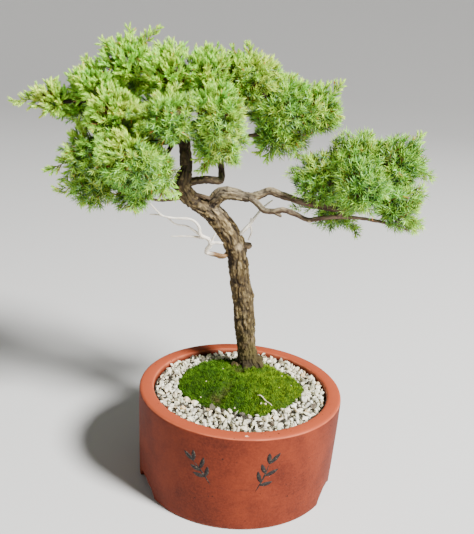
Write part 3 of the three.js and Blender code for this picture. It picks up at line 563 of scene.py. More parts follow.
def moss_top(x, y):
    """The height of the mat without its tips, rounded down to the stones at its edge."""
    swell = sum(np.exp(-((x - lx) ** 2 + (y - ly) ** 2) / reach**2 * 1.25) ** 3 for lx, ly, reach in lobes)
    swell = swell ** (1 / 3)
    cushions = 1.9 * uneven(np.c_[x, y, 0 * x], 11, 21) + 1.7 * uneven(np.c_[x, y, 0 * x], 4.6, 22)
    channel = 4.6 * np.exp(-((x + 26 - (y + 40) * 0.4) / 6) ** 2) * np.clip((26 - y) / 50, 0.1, 1)
    edge = np.clip(1 - np.minimum(moss_share(x, y), 1) ** 9, 0, 1) ** 0.5
    return 98.2 + np.maximum(1.8 + 9 * swell + cushions - channel, 0.8) * edge


pile, tree, surface = finish_of("moss_pile", 0.85, 0.2)
place = place_in(tree)
# Dark tones where this mark is low, light where it is high: partly the moss's own fresh tips, partly painted light
# and shade
fresh = mark_of(tree, "fresh")
ripe = mark_of(tree, "ripe")
patches = tone_of(tree, clouding, Place=place, Size=7.0)
dark = tones(tree, ripe, [(0, (16, 34, 3)), (1, (30, 54, 4))])
light = tones(tree, ripe, [(0, (76, 128, 6)), (0.5, (124, 178, 12)), (1, (200, 232, 34))])
colour = blended(tree, fresh, dark, light)
colour = tinted(tree, colour, patches, 0.3, (58, 96, 8))
colour = blended(tree, mark_of(tree, "dry"), colour, shade(78, 60, 34))
painted(tree, surface, colour)

mat_rings, mat_sides = 34, len(moss_line)
mat_bottom = 97.4
share = np.linspace(0.02, 1, mat_rings)[:, None, None]
flat = (moss_middle + line_arm * (1 - 0.3 / line_reach)[:, None] * share).reshape(-1, 2)
top = np.c_[flat, moss_top(*flat.T)]
under = top[-mat_sides:].copy()
under[:, 2] = mat_bottom
mat_faces = [
    ring_faces(mat_rings + 1, mat_sides), np.arange(mat_sides)[None, ::-1],
    np.arange(mat_sides)[None] + mat_rings * mat_sides,
]
mat = np.vstack([top, under])

chance = np.random.default_rng(23)
spots = chance.uniform([-70, -58], [74, 76], (tip_count * 3, 2))
spots = spots[moss_share(*spots.T) < 0.99][:tip_count]
root = np.c_[spots, moss_top(*spots.T) - 0.25]
lean = chance.normal(0, 0.4, (len(root), 2)) + (spots - moss_middle) / 260
high = chance.uniform(1.5, 3.3, len(root))
apex = root + np.c_[lean * high[:, None], high]
spin = chance.uniform(0, 2 * np.pi, len(root))
girth = chance.uniform(0.26, 0.42, len(root))
feet = []
for turn in (spin, spin + 2.094, spin + 4.188):
    feet.append(root + np.c_[np.cos(turn) * girth, np.sin(turn) * girth, 0 * spin])
blades = np.stack([*feet, apex], axis=1).reshape(-1, 3)
blade_faces = repeated(one_blade, len(root)) + len(mat)
everything = np.vstack([mat, blades])
x, y = everything[:, 0], everything[:, 1]
# Painted light: each tip gets a brightness in small clumps, as if lit; the foot of each blade and the mat between
# the blades get painted shade
lit = 0.62 + 0.5 * uneven(np.c_[spots, 0 * spin], 2.6, 26) + chance.normal(0, 0.14, len(root))
lit = np.clip(lit, 0.1, 1)
fresh_marks = np.concatenate([np.full(len(mat), 0.05), (lit[:, None] * [0.15, 0.15, 0.15, 1]).ravel()])
jitter = np.concatenate([np.zeros(len(mat)), np.repeat(chance.normal(0, 0.22, len(root)), 4)])
right = 1 / (1 + np.exp(-(x - 2 + (y - 10) * 0.15) / 7))
ripe_marks = np.clip(0.2 + 0.5 * right + 0.16 * uneven(np.c_[x, y, 0 * x], 16, 25) + jitter, 0, 1)
parting = np.exp(-(((x + 26 - (y + 40) * 0.4) / 4.6) ** 2)) * rising(y, 8, -32)
dry_marks = parting * (0.6 + 0.7 * uneven(np.c_[x, y, 0 * x], 6, 27))
dry_marks = np.maximum(dry_marks, 0.6 * np.exp(-(((x + 2) / 9) ** 2 + ((y - 30) / 5) ** 2)))
dry_marks = np.maximum(dry_marks, 0.7 * np.exp(-(((x + 25) / 6) ** 2 + ((y + 26) / 5) ** 2)))
moss = shaped(
    "moss_mat", everything, [*mat_faces, blade_faces], pile, smooth=False,
    fresh=fresh_marks, ripe=ripe_marks, dry=np.clip(dry_marks, 0, 1),
)
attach(moss, "root")
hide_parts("moss")

# The litter on the moss. One dry stalk of grass and a few pale crumbs of stone that fell from the hand when
# the gravel was strewn. They lie loose on the tips of the moss.
husk, tree, surface = finish_of("dry_litter", 0.8, 0.3)
place = place_in(tree)
weathered = tone_of(tree, clouding, Place=place, Size=1.6)
painted(tree, surface, tones(tree, weathered, [(0, (196, 178, 122)), (1, (240, 234, 206))]))
relief(tree, surface, weathered, 0.2)
stalk_rings = 9
stalk_x = np.linspace(18.5, 33, stalk_rings)
stalk_y = np.linspace(-25.5, -40, stalk_rings) + 1.2 * np.sin(np.linspace(0, np.pi, stalk_rings))
stalk_z = moss_top(stalk_x, stalk_y) + 2.4
turn = np.arange(6) * np.pi / 3
ring = np.stack([np.cos(turn) * 0.5, np.cos(turn) * 0.5, np.sin(turn) * 0.5], axis=-1)
stalk = np.stack([stalk_x, stalk_y, stalk_z], axis=-1)[:, None]
stalk = (stalk + ring[None] * np.linspace(1, 0.7, stalk_rings)[:, None, None]).reshape(-1, 3)
corners, faces, first = [stalk], [], len(stalk)
for x, y, size in (
    (22, -38.5, 1.4), (26.5, -39, 1.7), (-5, -43, 1.2), (-41, -29, 1.3), (-37, -2, 0.9),
    (45, 20, 1.0), (41, -8, 0.9), (12, -30, 0.7), (-20, 28, 0.8), (55, 6, 0.8),
):
    shape, cut = chips[chance.integers(len(chips))]
    corners.append(shape * size + (x, y, float(moss_top(np.array([x]), np.array([y]))[0]) + 2.2))
    faces.append(cut + first)
    first += len(shape)
stalk_ends = np.array([[0, 5, 4, 3, 2, 1], [48, 49, 50, 51, 52, 53]])
litter = shaped(
    "moss_litter", np.concatenate(corners), [ring_faces(stalk_rings, 6), stalk_ends, np.concatenate(faces)],
    husk, smooth=False,
)
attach(litter, "root")

# The trunk and its live branches. Juniper wood that grew as one piece, under long strips of flaking
# grey-brown bark that follow each limb. The trunk leans left as it rises; its right limbs reach the pad.
trunk_rows = [
    [7.7, 48, 52, 24], [7.7, 48, 80, 29], [7.7, 48, 103, 29], [6, 47.5, 118, 23], [4, 47, 132, 21],
    [0.4, 45, 158, 23], [-3.6, 42, 186, 22], [-9.2, 39, 214, 20], [-13.6, 36, 240, 22], [-20, 33, 259, 22],
    [-32.8, 30, 277, 21], [-43.6, 28, 288, 20], [-60, 25, 297, 18], [-71, 23, 308, 17],
    [-74, 22, 319, 17], [-71, 24, 330, 12], [-72.2, 28, 340, 13], [-74.3, 33, 354, 12],
    [-80, 30, 375, 10], [-88, 25, 397, 7],
]
bare_limbs = [
    [[-45, 27, 290, 14], [-39, 25, 302, 15], [-31, 23, 308.5, 14], [-20, 21, 309, 12.5],
     [-8, 19.5, 307.5, 10.5], [3, 18, 310, 9], [15, 17, 316, 8.5], [24, 16, 313.5, 8],
     [50, 14, 307.5, 7], [68, 12, 305, 6],
     [86, 10, 304, 5.5], [104, 9, 311, 5]],
    [[-8, 19, 310, 7], [4.6, 12, 302, 6.5], [10, 8, 298, 6.5], [19, 4, 298.4, 6], [29, 2, 301, 6],
     [42, 0, 298, 5.5], [54, -2, 294, 5], [67, -4, 297, 5], [82, -6, 300, 4.5], [109, -10, 301, 3.5],
     [140, -13, 297, 2.6], [151, -15, 294, 2.2]],
    [[50, 14, 307, 6], [58, 12, 312, 5], [63, 11, 313, 4.5]],
    [[19, 4, 298, 4], [28, 1, 294.5, 3]],
    [[-68, 26, 317, 9], [-56, 40, 317.5, 8.5], [-45, 50, 316, 8], [-36.5, 56, 315, 8], [-36, 60, 321, 7.5],
     [-37.5, 61, 331, 7], [-45, 62, 356, 6], [-42, 72, 378, 5], [-42, 80, 394, 4]],
    [[-68, 23, 306, 4.5], [-57, 20, 306.5, 3.8], [-48, 20, 304, 4], [-42, 23, 302, 4.5]],
    [[-9, 33, 252, 6.5], [-3, 33, 253, 5], [0, 33, 253.5, 3]],
    [[-72, 22, 314, 5], [-87, 14, 316.5, 4], [-94, 8, 316, 3.8], [-102, 0, 312, 3.2], [-112, -12, 313, 3]],
    [[-70, 22, 303, 5], [-84, 16, 300.5, 4], [-96, 6, 301, 3.2], [-106, -6, 306, 3]],
]
hidden_limbs = [
    [[-76, 32, 362, 9], [-110, 20, 378, 7], [-139, -2, 384, 6], [-168, 6, 394, 5], [-204, 10, 388, 3]],
    [[-84, 28, 382, 7], [-108, 24, 405, 6], [-131, 20, 428, 4]],
    [[-150, 4, 390, 4], [-164, 10, 411, 3]],
    [[-92, 4, 360, 5], [-130, -6, 357, 4], [-162, -15, 350, 3]],
    [[-84, 27, 388, 7], [-70, 18, 404, 6], [-51, 12, 413, 5], [-13, 18, 413, 5], [25, 20, 402, 4],
     [60, 25, 396, 3]],
    [[-88, 25, 392, 5], [-89, 8, 419, 4]],
    [[-76, 30, 368, 6], [-60, 14, 366, 5], [-38, 3, 366, 4], [-13, 19, 369, 4], [14, 34, 372, 3]],
    [[-78, 32, 365, 8], [-80, 4, 375, 6], [-85, -32, 386, 4]],
    [[-79, 10, 373, 5], [-58, -10, 385, 4], [-41, -28, 395, 3]],
    [[-77, 30, 358, 7], [-95, 0, 360, 6], [-113, -35, 355, 4], [-115, -48, 351, 3]],
    [[-84, 18, 359, 5], [-93, -26, 338, 3]],
    [[-109, -10, 312, 3.4], [-132, -16, 315, 3], [-156, -20, 317, 2.6]],
    [[-80, 33, 372, 8], [-95, 55, 386, 6], [-98, 77, 400, 4]],
    [[-94, 52, 384, 5], [-125, 62, 386, 4], [-150, 68, 389, 3.4], [-181, 50, 383, 2.6]],
    [[-93, 52, 384, 5], [-108, 53, 366, 4], [-124, 55, 353, 3]],
    [[-43, 70, 376, 5], [-15, 76, 382, 4], [14, 78, 390, 3]],
    [[104, 9, 310, 5], [103, 8, 328, 4], [93, 5, 352, 3]],
    [[100, 9, 309, 5], [119, 10, 332, 4], [134, 10, 352, 3]],
    [[68, 12, 305, 5], [64, 14, 322, 4], [61, 15, 336, 3]],
    [[82, -6, 300, 4], [92, -18, 316, 3.4], [100, -25, 332, 3]],
    [[138, -13, 297, 2.6], [142, -11, 308, 2.6], [141, -10, 315, 2.4]],
    [[70, 12, 305, 4], [80, 26, 303, 3.4], [86, 35, 297, 3]],
    [[102, 10, 312, 5], [100, 30, 326, 4], [100, 50, 339, 3]],
    [[101, 28, 322, 4], [119, 38, 330, 3.4], [137, 45, 335, 3]],
]
foot_lumps = [[17, 42, 108, 8], [20, 46, 116, 5], [-6, 44, 105, 7], [8, 38, 104, 8]]
burrs = [[-77, 22, 316, 8]]
# Swellings and scars on the bark: place, reach, how far it stands out, and 1 where the wood is cut and pale
bark_spots = [
    ([-12, 25, 252], 9, 1.6, 0.5), ([-2, 33, 251], 5, 2.6, 0.2), ([7, 38, 195], 8, 2.6, 0.0),
    ([-9.4, 34.6, 168.5], 3.6, 1.6, 1.0), ([-23, 29, 235], 8, -2.6, 0.0), ([55.6, -4, 293], 3, 1.0, 1.0),
    ([63, 11, 313], 3, 0.3, 1.0), ([-4, 36, 214], 7, 1.2, 0.0), ([8, 37, 150], 7, 1.3, 0.0),
]


def limb_line(rows, step):
    """Places along a smooth line through rows, its width at each and how far along each is."""
    rows = np.array(rows, float)
    at, width = rows[:, :3], rows[:, 3]
    knots = np.concatenate([[0], np.cumsum(np.linalg.norm(np.diff(at, axis=0), axis=1) ** 0.5)])
    speed = np.diff(at, axis=0) / np.diff(knots)[:, None]
    slope = np.vstack([speed[:1], speed[:-1] + speed[1:], speed[-1:]])
    wide = (at[2:] - at[:-2]) / (knots[2:] - knots[:-2])[:, None]
    slope[1:-1] -= wide
    places, widths = [], []
    for i in range(len(rows) - 1):
        gap = knots[i + 1] - knots[i]
        count = max(1, round(np.linalg.norm(at[i + 1] - at[i]) / step))
        t = np.linspace(0, 1, count, endpoint=False)[:, None]
        places.append((2 * t**3 - 3 * t**2 + 1) * at[i] + (t**3 - 2 * t**2 + t) * gap * slope[i]
                      + (3 * t**2 - 2 * t**3) * at[i + 1] + (t**3 - t**2) * gap * slope[i + 1])
        widths.append(width[i] + (width[i + 1] - width[i]) * t[:, 0])
    places = np.vstack([*places, at[-1:]])
    along = np.concatenate([[0], np.cumsum(np.linalg.norm(np.diff(places, axis=0), axis=1))])
    return places, np.append(np.concatenate(widths), width[-1]), along


def limb_frames(places):
    """A way round the limb to count turns from, at each place, that doesn't twist."""
    ways = np.gradient(places, axis=0)
    ways /= np.linalg.norm(ways, axis=1)[:, None]
    front, fronts = np.array([0.31, -0.9, 0.3]), []
    for way in ways:
        front = front - way * front.dot(way)
        front /= np.linalg.norm(front)
        fronts.append(front)
    fronts = np.array(fronts)
    return ways, fronts, np.cross(ways, fronts)


def swept(rows, sides, step):
    """A closed round limb along rows, and for each corner how far along and round the limb it is."""
    places, widths, along = limb_line(rows, step)
    ways, fronts, rights = limb_frames(places)
    turn = np.arange(sides) * 2 * np.pi / sides
    arm = fronts[:, None] * np.cos(turn)[None, :, None] + rights[:, None] * np.sin(turn)[None, :, None]
    corners = (places[:, None] + arm * (widths / 2)[:, None, None]).reshape(-1, 3)
    ends = np.array([places[0] - ways[0] * widths[0] * 0.18, places[-1] + ways[-1] * widths[-1] * 0.18])
    around = np.stack([np.repeat(along, sides), np.outer(widths / 2, np.cos(turn)).ravel(),
                       np.outer(widths / 2, np.sin(turn)).ravel()], axis=-1)
    around = np.vstack([around, [[0, 0, 0], [along[-1], 0, 0]]])
    s, n = np.arange(sides), (np.arange(sides) + 1) % sides
    last, total = (len(places) - 1) * sides, len(corners)
    first_cap = np.stack([0 * s + total, n, s], axis=-1)
    last_cap = np.stack([0 * s + total + 1, last + s, last + n], axis=-1)
    caps = np.vstack([first_cap, last_cap])
    return np.vstack([corners, ends]), [ring_faces(len(places), sides), caps], around


def ball(subdivisions):
    """An even ball of unit size, as corners and three-sided faces."""
    form = bmesh.new()
    bmesh.ops.create_icosphere(form, subdivisions=subdivisions, radius=1)
    return corners_and_faces(form)


def lump_form(x, y, z, reach, seed):
    """A rounded, uneven lump of bark."""
    corners, faces = ball(3)
    reaches = reach * (0.95 + 0.22 * uneven(corners * 10, 7, seed))
    return corners * reaches[:, None] + (x, y, z), faces


def grown_together(parts, fineness):
    """Corners and four-sided faces of one skin over all the parts, evened a little."""
    corners, threes, fours, first = [], [], [], 0
    for places, groups in parts:
        for group in groups:
            (threes if group.shape[1] == 3 else fours).append(group + first)
        corners.append(places)
        first += len(places)
    groups = [np.concatenate(threes)] + ([np.concatenate(fours)] if fours else [])
    rough = shaped("rough", np.concatenate(corners), groups, clay)
    skin = rough.modifiers.new("skin", "REMESH")
    skin.mode, skin.voxel_size = "VOXEL", fineness / 1000
    mesh = rough.evaluated_get(bpy.context.evaluated_depsgraph_get()).data
    places = np.empty(len(mesh.vertices) * 3, np.float32)
    mesh.vertices.foreach_get("co", places)
    faces = np.empty(len(mesh.loops), np.int32)
    mesh.loops.foreach_get("vertex_index", faces)
    places, faces = places.reshape(-1, 3).astype(float) * 1000, faces.reshape(-1, 4)
    bpy.data.objects.remove(rough)
    for _ in range(3):
        places = places * 0.4 + neighbours_mean(places, faces) * 0.6
    return places, faces


def neighbours_mean(places, faces):
    total, count = np.zeros_like(places), np.zeros(len(places))
    for a, b in ((0, 1), (1, 2), (2, 3), (3, 0)):
        np.add.at(total, faces[:, a], places[faces[:, b]])
        np.add.at(total, faces[:, b], places[faces[:, a]])
        np.add.at(count, faces[:, a], 1)
        np.add.at(count, faces[:, b], 1)
    return total / count[:, None]


def outward(places, faces):
    """The way out of the surface at each corner."""
    a, b, c, d = (places[faces[:, k]] for k in range(4))
    out, total = np.cross(c - a, d - b), np.zeros_like(places)
    for k in range(4):
        np.add.at(total, faces[:, k], out)
    return total / np.maximum(np.linalg.norm(total, axis=1), 1e-9)[:, None]


def nearest_limb(places, limbs):
    """For each place how far along and round its limb it is, and that limb's radius and number."""
    starts, ends, radii, alongs, fronts, rights, numbers = [], [], [], [], [], [], []
    for number, rows in enumerate(limbs):
        line, widths, along = limb_line(rows, 5)
        _, front, right = limb_frames(line)
        starts.append(line[:-1])
        ends.append(line[1:])
        radii.append(widths[:-1] / 2)
        alongs.append(along[:-1])
        fronts.append(front[:-1])
        rights.append(right[:-1])
        numbers.append(np.full(len(line) - 1, number))
    starts, ends, fronts, rights = (np.vstack(x) for x in (starts, ends, fronts, rights))
    radii, alongs, numbers = (np.concatenate(x) for x in (radii, alongs, numbers))
    span = ends - starts
    length = np.linalg.norm(span, axis=1)
    found = np.empty((len(places), 3))
    radius, number = np.empty(len(places)), np.empty(len(places), int)
    for first in range(0, len(places), 4000):
        some = places[first:first + 4000]
        arm = some[:, None] - starts[None]
        share = np.clip((arm * span[None]).sum(-1) / length**2, 0, 1)
        gap = arm - share[..., None] * span[None]
        far = np.linalg.norm(gap, axis=-1) - radii[None]
        best = far.argmin(axis=1)
        row = np.arange(len(some))
        gap, share = gap[row, best], share[row, best]
        part = np.stack([(gap * fronts[best]).sum(-1), (gap * rights[best]).sum(-1)], axis=-1)
        part *= (radii[best] / np.maximum(np.linalg.norm(part, axis=1), 1e-6))[:, None]
        found[first:first + 4000] = np.c_[alongs[best] + share * length[best], part]
        radius[first:first + 4000], number[first:first + 4000] = radii[best], numbers[best]
    return found, radius, number


bark, tree, surface = finish_of("juniper_bark", 0.88, 0.25)
grain = mark_of(tree, "grain", "Vector")
long_place = stretched(tree, grain, (0.22, 1, 1))
fibres = tone_of(tree, clouding, Place=long_place, Size=2.0, Low=0.3, High=0.7)
flakes = tone_of(tree, clouding, Place=long_place, Size=5.5, Low=0.4, High=0.62)
raised = mark_of(tree, "raised")
# Darker in the fissures, paler on the plates: partly the bark's own colours, partly painted shade in the fissures
# and painted light on the ridges
colour = tones(tree, raised, [
    (0, (22, 16, 10)), (0.3, (46, 35, 22)), (0.48, (70, 55, 34)),
    (0.7, (96, 79, 48)), (0.88, (126, 107, 69)), (1, (168, 148, 106)),
])
colour = tinted(tree, colour, fibres, 0.5, (84, 68, 50), "MULTIPLY")
colour = tinted(tree, colour, flakes, 0.22, (160, 142, 112))
# Ruddy bark: partly the limbs' own redder bark far out to the right, partly painted shade laid darker and redder
# on the thin limbs' undersides
ruddy = blended(tree, flakes, shade(66, 46, 35), shade(134, 110, 92))
colour = blended(tree, mark_of(tree, "ruddy"), colour, ruddy)
# Silvered bark on the upper limbs: partly the wood's own weathered grey, partly painted light on their tops
silver = blended(tree, raised, shade(50, 42, 33), shade(162, 151, 129))
colour = blended(tree, mark_of(tree, "silvered"), colour, silver)
algae = blended(tree, raised, shade(47, 41, 20), shade(79, 71, 34))
colour = blended(tree, mark_of(tree, "green"), colour, algae)
# Painted shade: the fork and trunk top under the crown, the limbs' undersides and the hidden boughs, with the dark
# crust at the trunk's foot
colour = blended(tree, mark_of(tree, "gloom"), colour, shade(38, 29, 22))
colour = blended(tree, mark_of(tree, "pale"), colour, shade(206, 184, 148))
painted(tree, surface, colour)
relief(tree, surface, reckoned(tree, "MULTIPLY_ADD", fibres, 0.6, flakes), 0.7)

parts = [swept(trunk_rows, 24, 3)[:2]] + [swept(rows, 16, 3)[:2] for rows in bare_limbs]
lumps = [lump_form(*row, 60 + i) for i, row in enumerate(foot_lumps + burrs)]
parts += [(corners, [faces]) for corners, faces in lumps]
skin, skin_faces = grown_together(parts, 0.72)
limbs = [trunk_rows, *bare_limbs]
grain_place, limb_radius, limb_number = nearest_limb(skin, limbs)
twist = grain_place + np.c_[limb_number * 900.0, 0 * limb_radius, 0 * limb_radius]
wavering = twist + 2.2 * np.c_[0 * limb_radius, uneven(skin, 9, 35), uneven(skin, 9, 36)]
wide_plate = abs(uneven(wavering * [0.32, 1, 1], 4.4, 31))
narrow_plate = abs(uneven(wavering * [0.5, 1, 1], 2.5, 32))
plates = np.clip(wide_plate / 0.3, 0, 1) * 0.62 + np.clip(narrow_plate / 0.32, 0, 1) * 0.38
plates += 0.42 * uneven(twist * [0.6, 1, 1], 1.9, 33)
depth = np.minimum(1.8, 0.18 * limb_radius + 0.05)
stand_out = depth * (plates - 0.72 + 0.5 * uneven(skin, 12, 34))
pale_marks = np.zeros(len(skin))
for where, reach, rise, cut in bark_spots:
    near = np.exp(-((np.linalg.norm(skin - where, axis=1) / reach) ** 2) * 2)
    stand_out += rise * near
    pale_marks = np.maximum(pale_marks, cut * np.clip(near * 2 - 0.9, 0, 1))
# Below the moss the wood is plain and a little slimmer, to stand in the soil's hole
in_the_open = rising(skin[:, 2], 96, 102)
stand_out = stand_out * in_the_open - 1.2 * (1 - in_the_open)
skin = skin + outward(skin, skin_faces) * stand_out[:, None]
hidden_corners, hidden_groups, hidden_grain, first = [], [], [], len(skin)
for number, rows in enumerate(hidden_limbs):
    corners, groups, around = swept(rows, 8, 7)
    corners = corners + 0.3 * np.c_[uneven(corners, 6, 41), uneven(corners, 6, 42), uneven(corners, 6, 43)]
    hidden_corners.append(corners)
    hidden_groups += [group + first for group in groups]
    hidden_grain.append(around + [900 * (number + 10), 0, 0])
    first += len(corners)
everything = np.vstack([skin, *hidden_corners])
x, z = everything[:, 0], everything[:, 2]
hidden = len(everything) - len(skin)
up_facing = outward(skin, skin_faces)[:, 2]


def marked(on_skin, on_hidden):
    """A mark for all corners: one for each corner of the skin, one number for the boughs in the foliage."""
    return np.concatenate([on_skin, np.full(hidden, float(on_hidden))])


grain_marks = np.vstack([twist, *hidden_grain]) / 1000
raised_marks = marked(np.clip(plates * 0.86 + 0.1 * uneven(skin, 6, 37), 0, 1), 0.4)
on_limbs = rising(z, 282, 294)
low_damp = rising(z, 205, 125) * np.clip(0.7 + 0.8 * uneven(everything, 9, 51), 0, 1) * 0.92
thin = marked(rising(limb_radius, 6, 3.5), 1)
# Painted shade: the thin limbs' undersides, and the hidden boughs, are laid darker and redder
under_side = marked(np.clip(0.35 - up_facing * 0.5, 0, 1), 0.6)
shaded = marked(np.clip(-0.1 - up_facing, 0, 1), 0)
shaded *= 0.7 * on_limbs
far_out = 0.55 * rising(x, 15, 55) * on_limbs
fork_shade = 0.36 * rising(z, 286, 298) * rising(x, -38, -48)
# Painted shade on the trunk's top under the crown's left side
gloom = np.maximum(fork_shade, rising(z, 312, 326) * (x < -25) * 0.62)
# Darker in and round the hollow in the trunk at 235 mm
scar = np.exp(-((np.linalg.norm((everything - [-24, 28, 235]) * [1, 0.6, 0.6], axis=1) / 6.5) ** 2)) * 1.3
crust = rising(z, 127, 111) * np.clip(0.75 + uneven(everything, 5, 52), 0, 1) * 0.85
# The hidden boughs inside the foliage get painted shade too
gloom = np.maximum.reduce([gloom, scar, crust, shaded]) + marked(np.zeros(len(skin)), 0.35)
# Strongest on upward faces: partly weathering, partly painted light on the limbs' tops
silvered = marked(np.clip(0.45 + up_facing, 0, 1), 0) * rising(x, -48, -36) * on_limbs
silvered *= 0.5 - 0.36 * rising(x, 5, 65)
wood = shaped(
    "trunk_bark", everything, [skin_faces, *hidden_groups], bark,
    grain=grain_marks, raised=raised_marks, ruddy=np.clip(thin * under_side * 0.85 + far_out, 0, 1),
    green=low_damp, gloom=np.clip(gloom, 0, 1), silvered=silvered, pale=marked(pale_marks, 0),
)
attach(wood, "root")
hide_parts("trunk")

# The dead twigs. Branches that died and lost their bark, bleached white by the sun, still rooted in the
# trunk on both sides. The first bend on the left is older wood, tan and cracked along its length.
dead_left = [
    [[-22, 35, 244, 5], [-27, 27, 240.5, 5.2], [-38, 22, 243.5, 5], [-45.5, 19, 246, 4.8], [-45, 17, 250, 4.6],
     [-41.5, 15, 256, 4.6], [-43, 14, 261, 4.5], [-52, 10, 267, 4], [-53.5, 8, 274, 3.4],
     [-57, 6, 280.5, 3], [-64, 4, 284.5, 2.6], [-78, 2, 285, 2.4], [-90, 0, 287, 2],
     [-97.5, -2, 293.5, 1.8], [-103, -4, 300, 1.4]],
    [[-88, 0, 286.5, 2], [-96, 1, 287.5, 1.6], [-104, 2, 287, 1.2]],
    [[-50, 11, 265, 3.4], [-56.6, 10, 269.4, 2.6], [-66, 10, 275, 2.2], [-77.5, 8, 277, 2],
     [-85.5, 3, 284.5, 1.8]],
    [[-47, 12, 263, 3], [-61.7, 12, 264, 2.2], [-83, 14, 262, 1.4]],
    [[-42, 14, 257, 4], [-36, 14.5, 258.5, 3.4], [-29, 16, 257.5, 3]],
    [[-41, 14, 258, 3], [-37, 12, 269.5, 2]],
]
dead_right = [
    [[-15, 31, 262, 4.5], [-8, 31, 269, 4], [-2, 34, 276, 3.4], [6, 40, 287, 2.8], [13, 44, 294.3, 2.2],
     [20, 46, 300, 1.6]],
    [[-2.5, 34, 275, 2.4], [0, 35, 267, 2], [-3, 36, 257, 1.6]],
    [[-2, 34, 275, 2.4], [-1.5, 36, 281.5, 1.6]],
]
bleached, tree, surface = finish_of("bleached_wood", 0.75, 0.3)
grain = mark_of(tree, "grain", "Vector")
long_place = stretched(tree, grain, (0.1, 1, 1))
cracks = tone_of(tree, clouding, Place=long_place, Size=0.8, Low=0.35, High=0.6)
stains = tone_of(tree, clouding, Place=grain, Size=7.0)
colour = blended(tree, cracks, shade(206, 192, 176), shade(252, 246, 234))
colour = tinted(tree, colour, stains, 0.3, (232, 214, 174))
tan = blended(tree, cracks, shade(76, 56, 34), shade(136, 104, 68))
colour = blended(tree, mark_of(tree, "old"), colour, tan)
painted(tree, surface, colour)
relief(tree, surface, cracks, 0.3)
for side, limbs in (("left", dead_left), ("right", dead_right)):
    parts = [swept(rows, 12, 2)[:2] for rows in limbs]
    skin, faces = grown_together(parts, 0.42)
    around, radius, number = nearest_limb(skin, limbs)
    knots = 0.16 * radius * uneven(skin, 4, 61) + 0.1 * radius * uneven(around * [0.15, 1, 1], 1.1, 62)
    skin = skin + outward(skin, faces) * knots[:, None]
    old = (number == 0) * rising(around[:, 0], 32, 22) * (side == "left")
    twigs = shaped(
        f"dead_twigs_{side}", skin, faces, bleached,
        grain=(around + np.c_[number * 300, 0 * radius, 0 * radius]) / 1000, old=old,
    )
    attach(twigs, "root")
    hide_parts(f"deadwood_{side}")

# The foliage. Bunches of juniper shoots, each a short green stem set all round with sharp awl-shaped
# needles in whorls of three: long and open inside the crown, short and packed at the young tips.
bunches = [
    ("arm_left", -203, 12, 393, 17), ("left_top", -161, 10, 408, 24), ("top_left", -131, 20, 430, 27),
    ("top_mid_left", -89, 5, 426, 26), ("top_mid", -52, 10, 426, 27), ("top_mid_right", -13, 20, 425, 27),
    ("right_top", 23, 20, 403, 27), ("right_end", 55, 25, 397, 24), ("right_under", 21, 35, 374, 25),
    ("front_mid", -40, -30, 396, 25), ("front_left", -85, -35, 389, 26), ("left_mid", -138, -18, 384, 27),
    ("left_low", -160, -15, 349, 24), ("low_front", -118, -48, 351, 29), ("low_left", -155, -20, 319, 21),
    ("low_mid", -118, -18, 315, 20), ("low_right", -94, -28, 337, 19), ("under_mid", -37, 2, 366, 24),
    ("back_left", -150, 70, 392, 27), ("back_mid_left", -98, 78, 402, 28), ("back_mid", -42, 80, 400, 28),
    ("back_right", 14, 78, 391, 26), ("back_low_left", -124, 55, 353, 25), ("back_arm", -181, 50, 383, 20),
    ("pad_left", 63, 15, 333, 24), ("pad_top", 97, 5, 354, 26), ("pad_right", 136, 10, 354, 26),
    ("pad_front", 101, -25, 334, 24), ("pad_tip", 140, -10, 316, 22), ("pad_low", 86, 36, 296, 17),
    ("pad_back", 104, 50, 340, 25), ("pad_back_right", 138, 46, 337, 22),
]
long_tips = {
    "arm_left": [[-245, 14, 388], [-224, 12, 402], [-204, 10, 411]],
    "left_top": [[-188, 10, 417], [-170, 12, 436]],
    "top_left": [[-102, 20, 467], [-130, 21, 466], [-158, 18, 451]],
    "top_mid_left": [[-87, 8, 456], [-101, 6, 453]],
    "top_mid": [[-57, 10, 453]],
    "top_mid_right": [[-16, 20, 458], [-33, 16, 454]],
    "right_end": [[78, 25, 428], [81, 24, 394], [62, 24, 426], [50, 24, 425]],
    "left_low": [[-202, -20, 328], [-188, -18, 318]],
    "low_left": [[-193, -22, 311], [-170, -22, 299]],
    "low_mid": [[-118, -32, 299]],
    "low_right": [[-74, -28, 313], [-86, -28, 312]],
    "under_mid": [[-57, 4, 332], [-50, 6, 336], [-63, 5, 354], [-61, 5, 342]],
    "right_under": [[7, 28, 343], [43, 30, 350], [-6, 30, 362], [-1, 29, 350], [50, 30, 362]],
    "back_arm": [[-203, 34, 371]],
    "pad_right": [[175, 10, 343], [160, 10, 385]],
    "pad_tip": [[161, -10, 291], [167, -8, 295], [166, 0, 334]],
    "pad_left": [[31, 15, 337]],
    "pad_top": [[108, 5, 384]],
    "pad_low": [[39, 40, 296], [64, 38, 280], [113, 36, 271], [108, 34, 280]],
}
# Places where the scissors cut the crown back, each with its reach
cut_back = np.array([
    [-212, 10, 411, 9], [-199, 10, 417, 10], [-187, 12, 431, 9], [-186, -12, 360, 9], [-178, -20, 305, 9],
    [-68, -28, 336, 12], [-72, -28, 316, 9], [26, 22, 434, 8], [5, 22, 448, 7], [14, 30, 362, 9], [24, 30, 364, 8],
    [85, 18, 372, 8], [59, 20, 362, 8], [-107, 8, 451, 6], [-73, 8, 448, 6], [-39, 18, 450, 6],
], float)
tip_spacing = 7.8
third_turn = 2.0944
bunch_middles = np.array([row[1:4] for row in bunches], float)
bunch_reaches = np.array([row[4] for row in bunches], float)
# Where the boughs of the crown and of the right pad part, from which the shoots sweep outwards
crown_heart = np.array([-84.0, 24, 340])
pad_heart = np.array([80.0, 8, 292])

